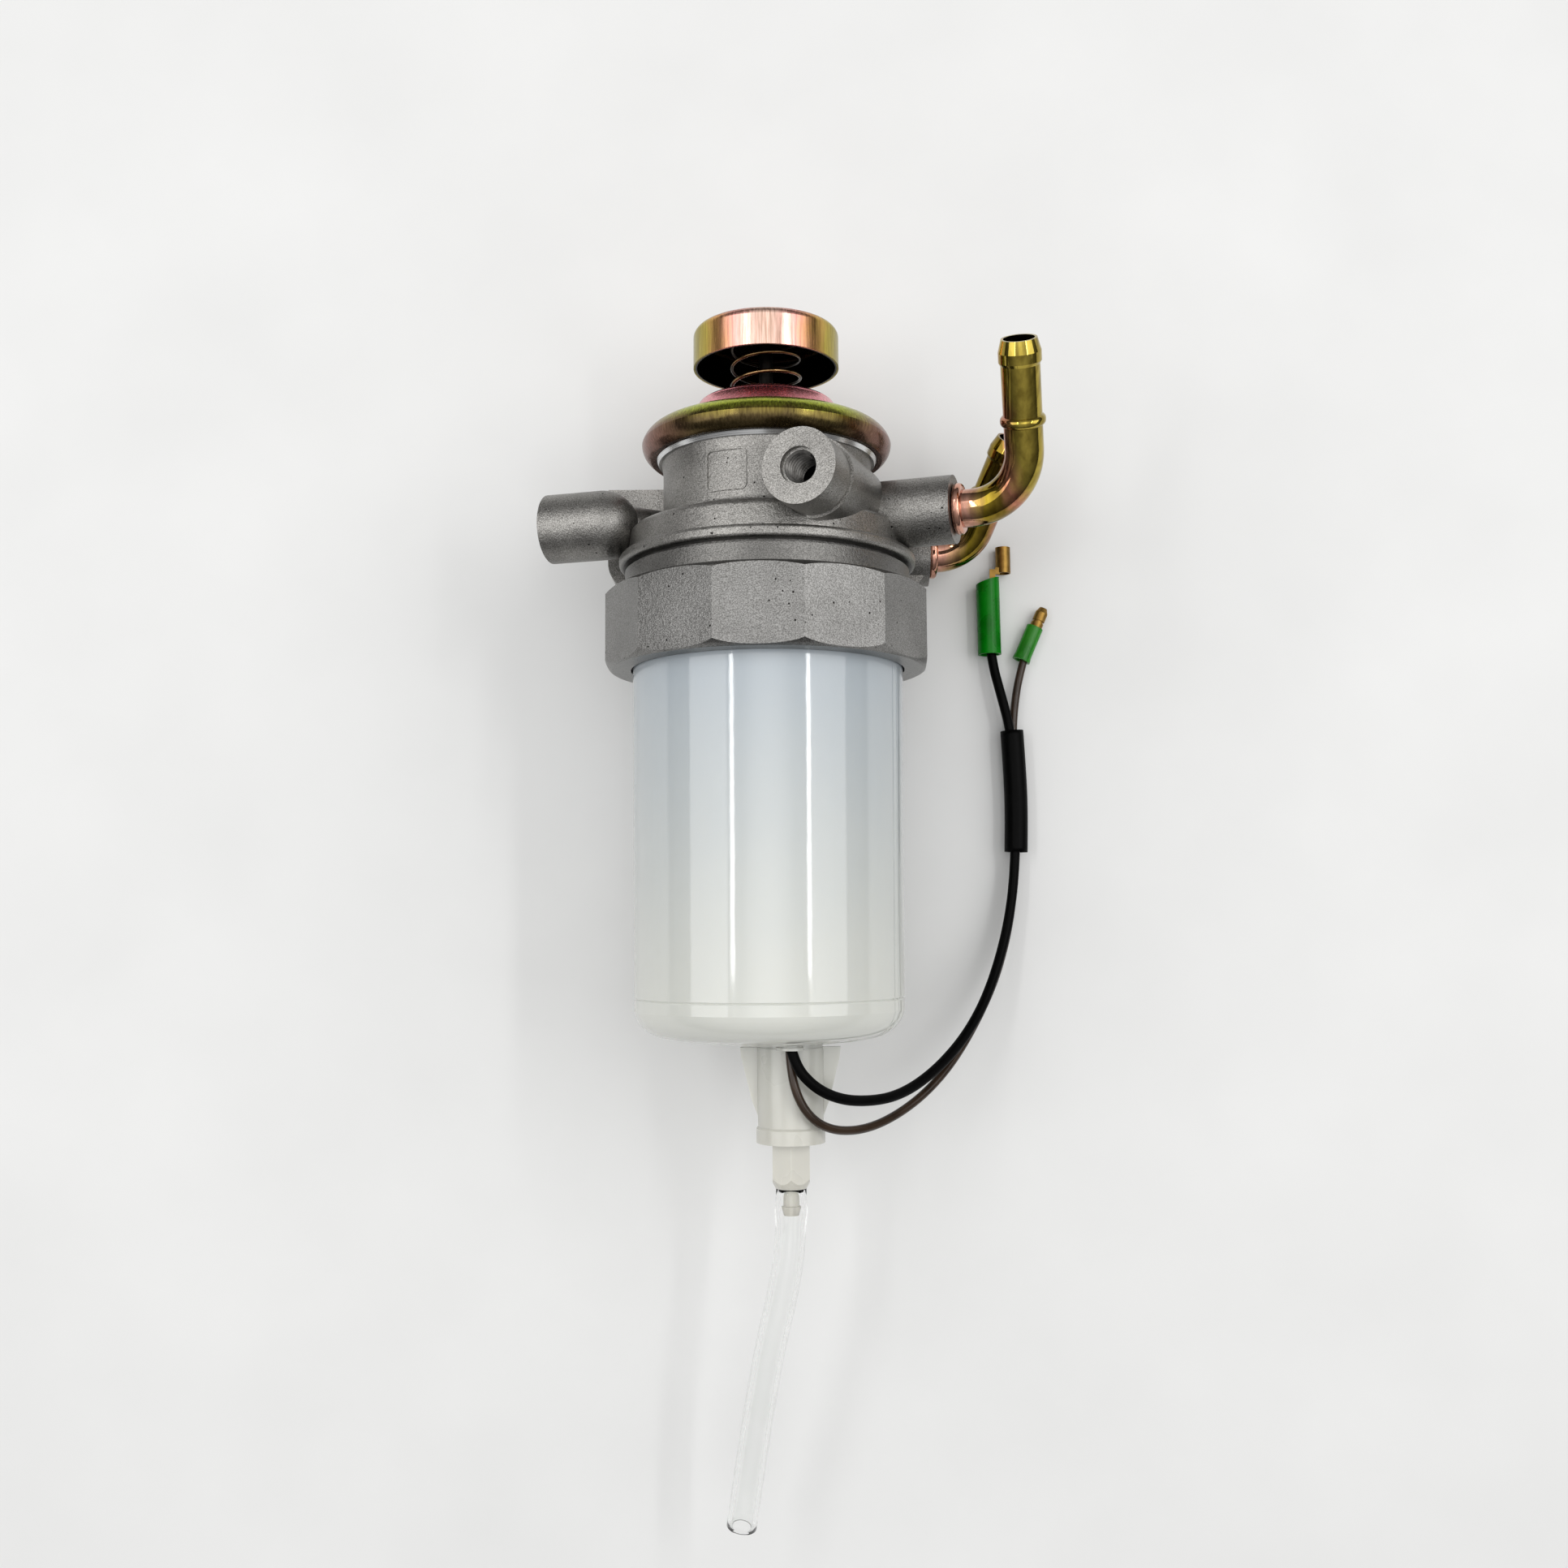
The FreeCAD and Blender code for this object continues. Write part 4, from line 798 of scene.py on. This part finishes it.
table_mesh = bpy.data.meshes.new("table")
table_mesh.from_pydata(
    [(x * TABLE_HALF, y * TABLE_HALF, TABLE_HEIGHT) for x, y in CORNERS], [], [(0, 1, 2, 3)],
)
table = bpy.data.objects.new("table", table_mesh)
scene.collection.objects.link(table)
table_finish = Finish("pale_table", Roughness=0.7)
table_finish.surface.inputs["Specular IOR Level"].default_value = 0.1
paper = table_finish.noise(14, 4)
table_finish.paint(table_finish.ramp(paper, (0.3, colour(219, 219, 218)), (0.7, colour(224, 224, 223))))
table.data.materials.append(table_finish.material)

world = bpy.data.worlds.new("studio")
world.use_nodes = True
sky = world.node_tree
direction = sky.nodes.new("ShaderNodeTexCoord")
height = sky.nodes.new("ShaderNodeSeparateXYZ")
level = sky.nodes.new("ShaderNodeValToRGB")
# The grey of the sky at the horizon, at three heights between, and overhead.
SKY = ((0.0, 0.08), (0.45, 0.26), (0.80, 0.60), (0.93, 1.10), (1.0, 2.5))
while len(level.color_ramp.elements) < len(SKY):
    level.color_ramp.elements.new(0.5)
for element, (position, grey) in zip(level.color_ramp.elements, SKY):
    element.position = position
    element.color = (grey, grey, grey, 1.0)
sky.links.new(direction.outputs["Generated"], height.inputs["Vector"])
sky.links.new(height.outputs["Z"], level.inputs["Fac"])
sky.links.new(level.outputs["Color"], sky.nodes["Background"].inputs["Color"])
scene.world = world

# The X and Z of the point that every lamp faces.
TARGET_X = 0.0
TARGET_Z = 0.04


def soft_box(name, at, power, width, length):
    """An area lamp whose length runs along Y, turned about Y to face the part."""
    lamp = bpy.data.lights.new(name, "AREA")
    lamp.shape = "RECTANGLE"
    lamp.size = width
    lamp.size_y = length
    lamp.energy = power
    at = Vector(at)
    back = Vector((at.x - TARGET_X, 0.0, at.z - TARGET_Z)).normalized()
    along = Vector((0, 1, 0))
    return placed(bpy.data.objects.new(name, lamp), at, along.cross(back), along, back)


# Two narrow lamps for highlights, and two wide ones for soft light from both sides.
soft_box("left_strip", (-0.44, 0.16, 0.84), 1.1, 0.05, 0.66)
soft_box("right_strip", (0.52, 0.16, 0.84), 1.3, 0.05, 0.66)
soft_box("left_soft_box", (-1.15, 0.10, 1.00), 7.0, 0.9, 1.3)
soft_box("right_soft_box", (1.15, 0.10, 1.00), 6.5, 0.9, 1.3)

bpy.context.view_layer.update()
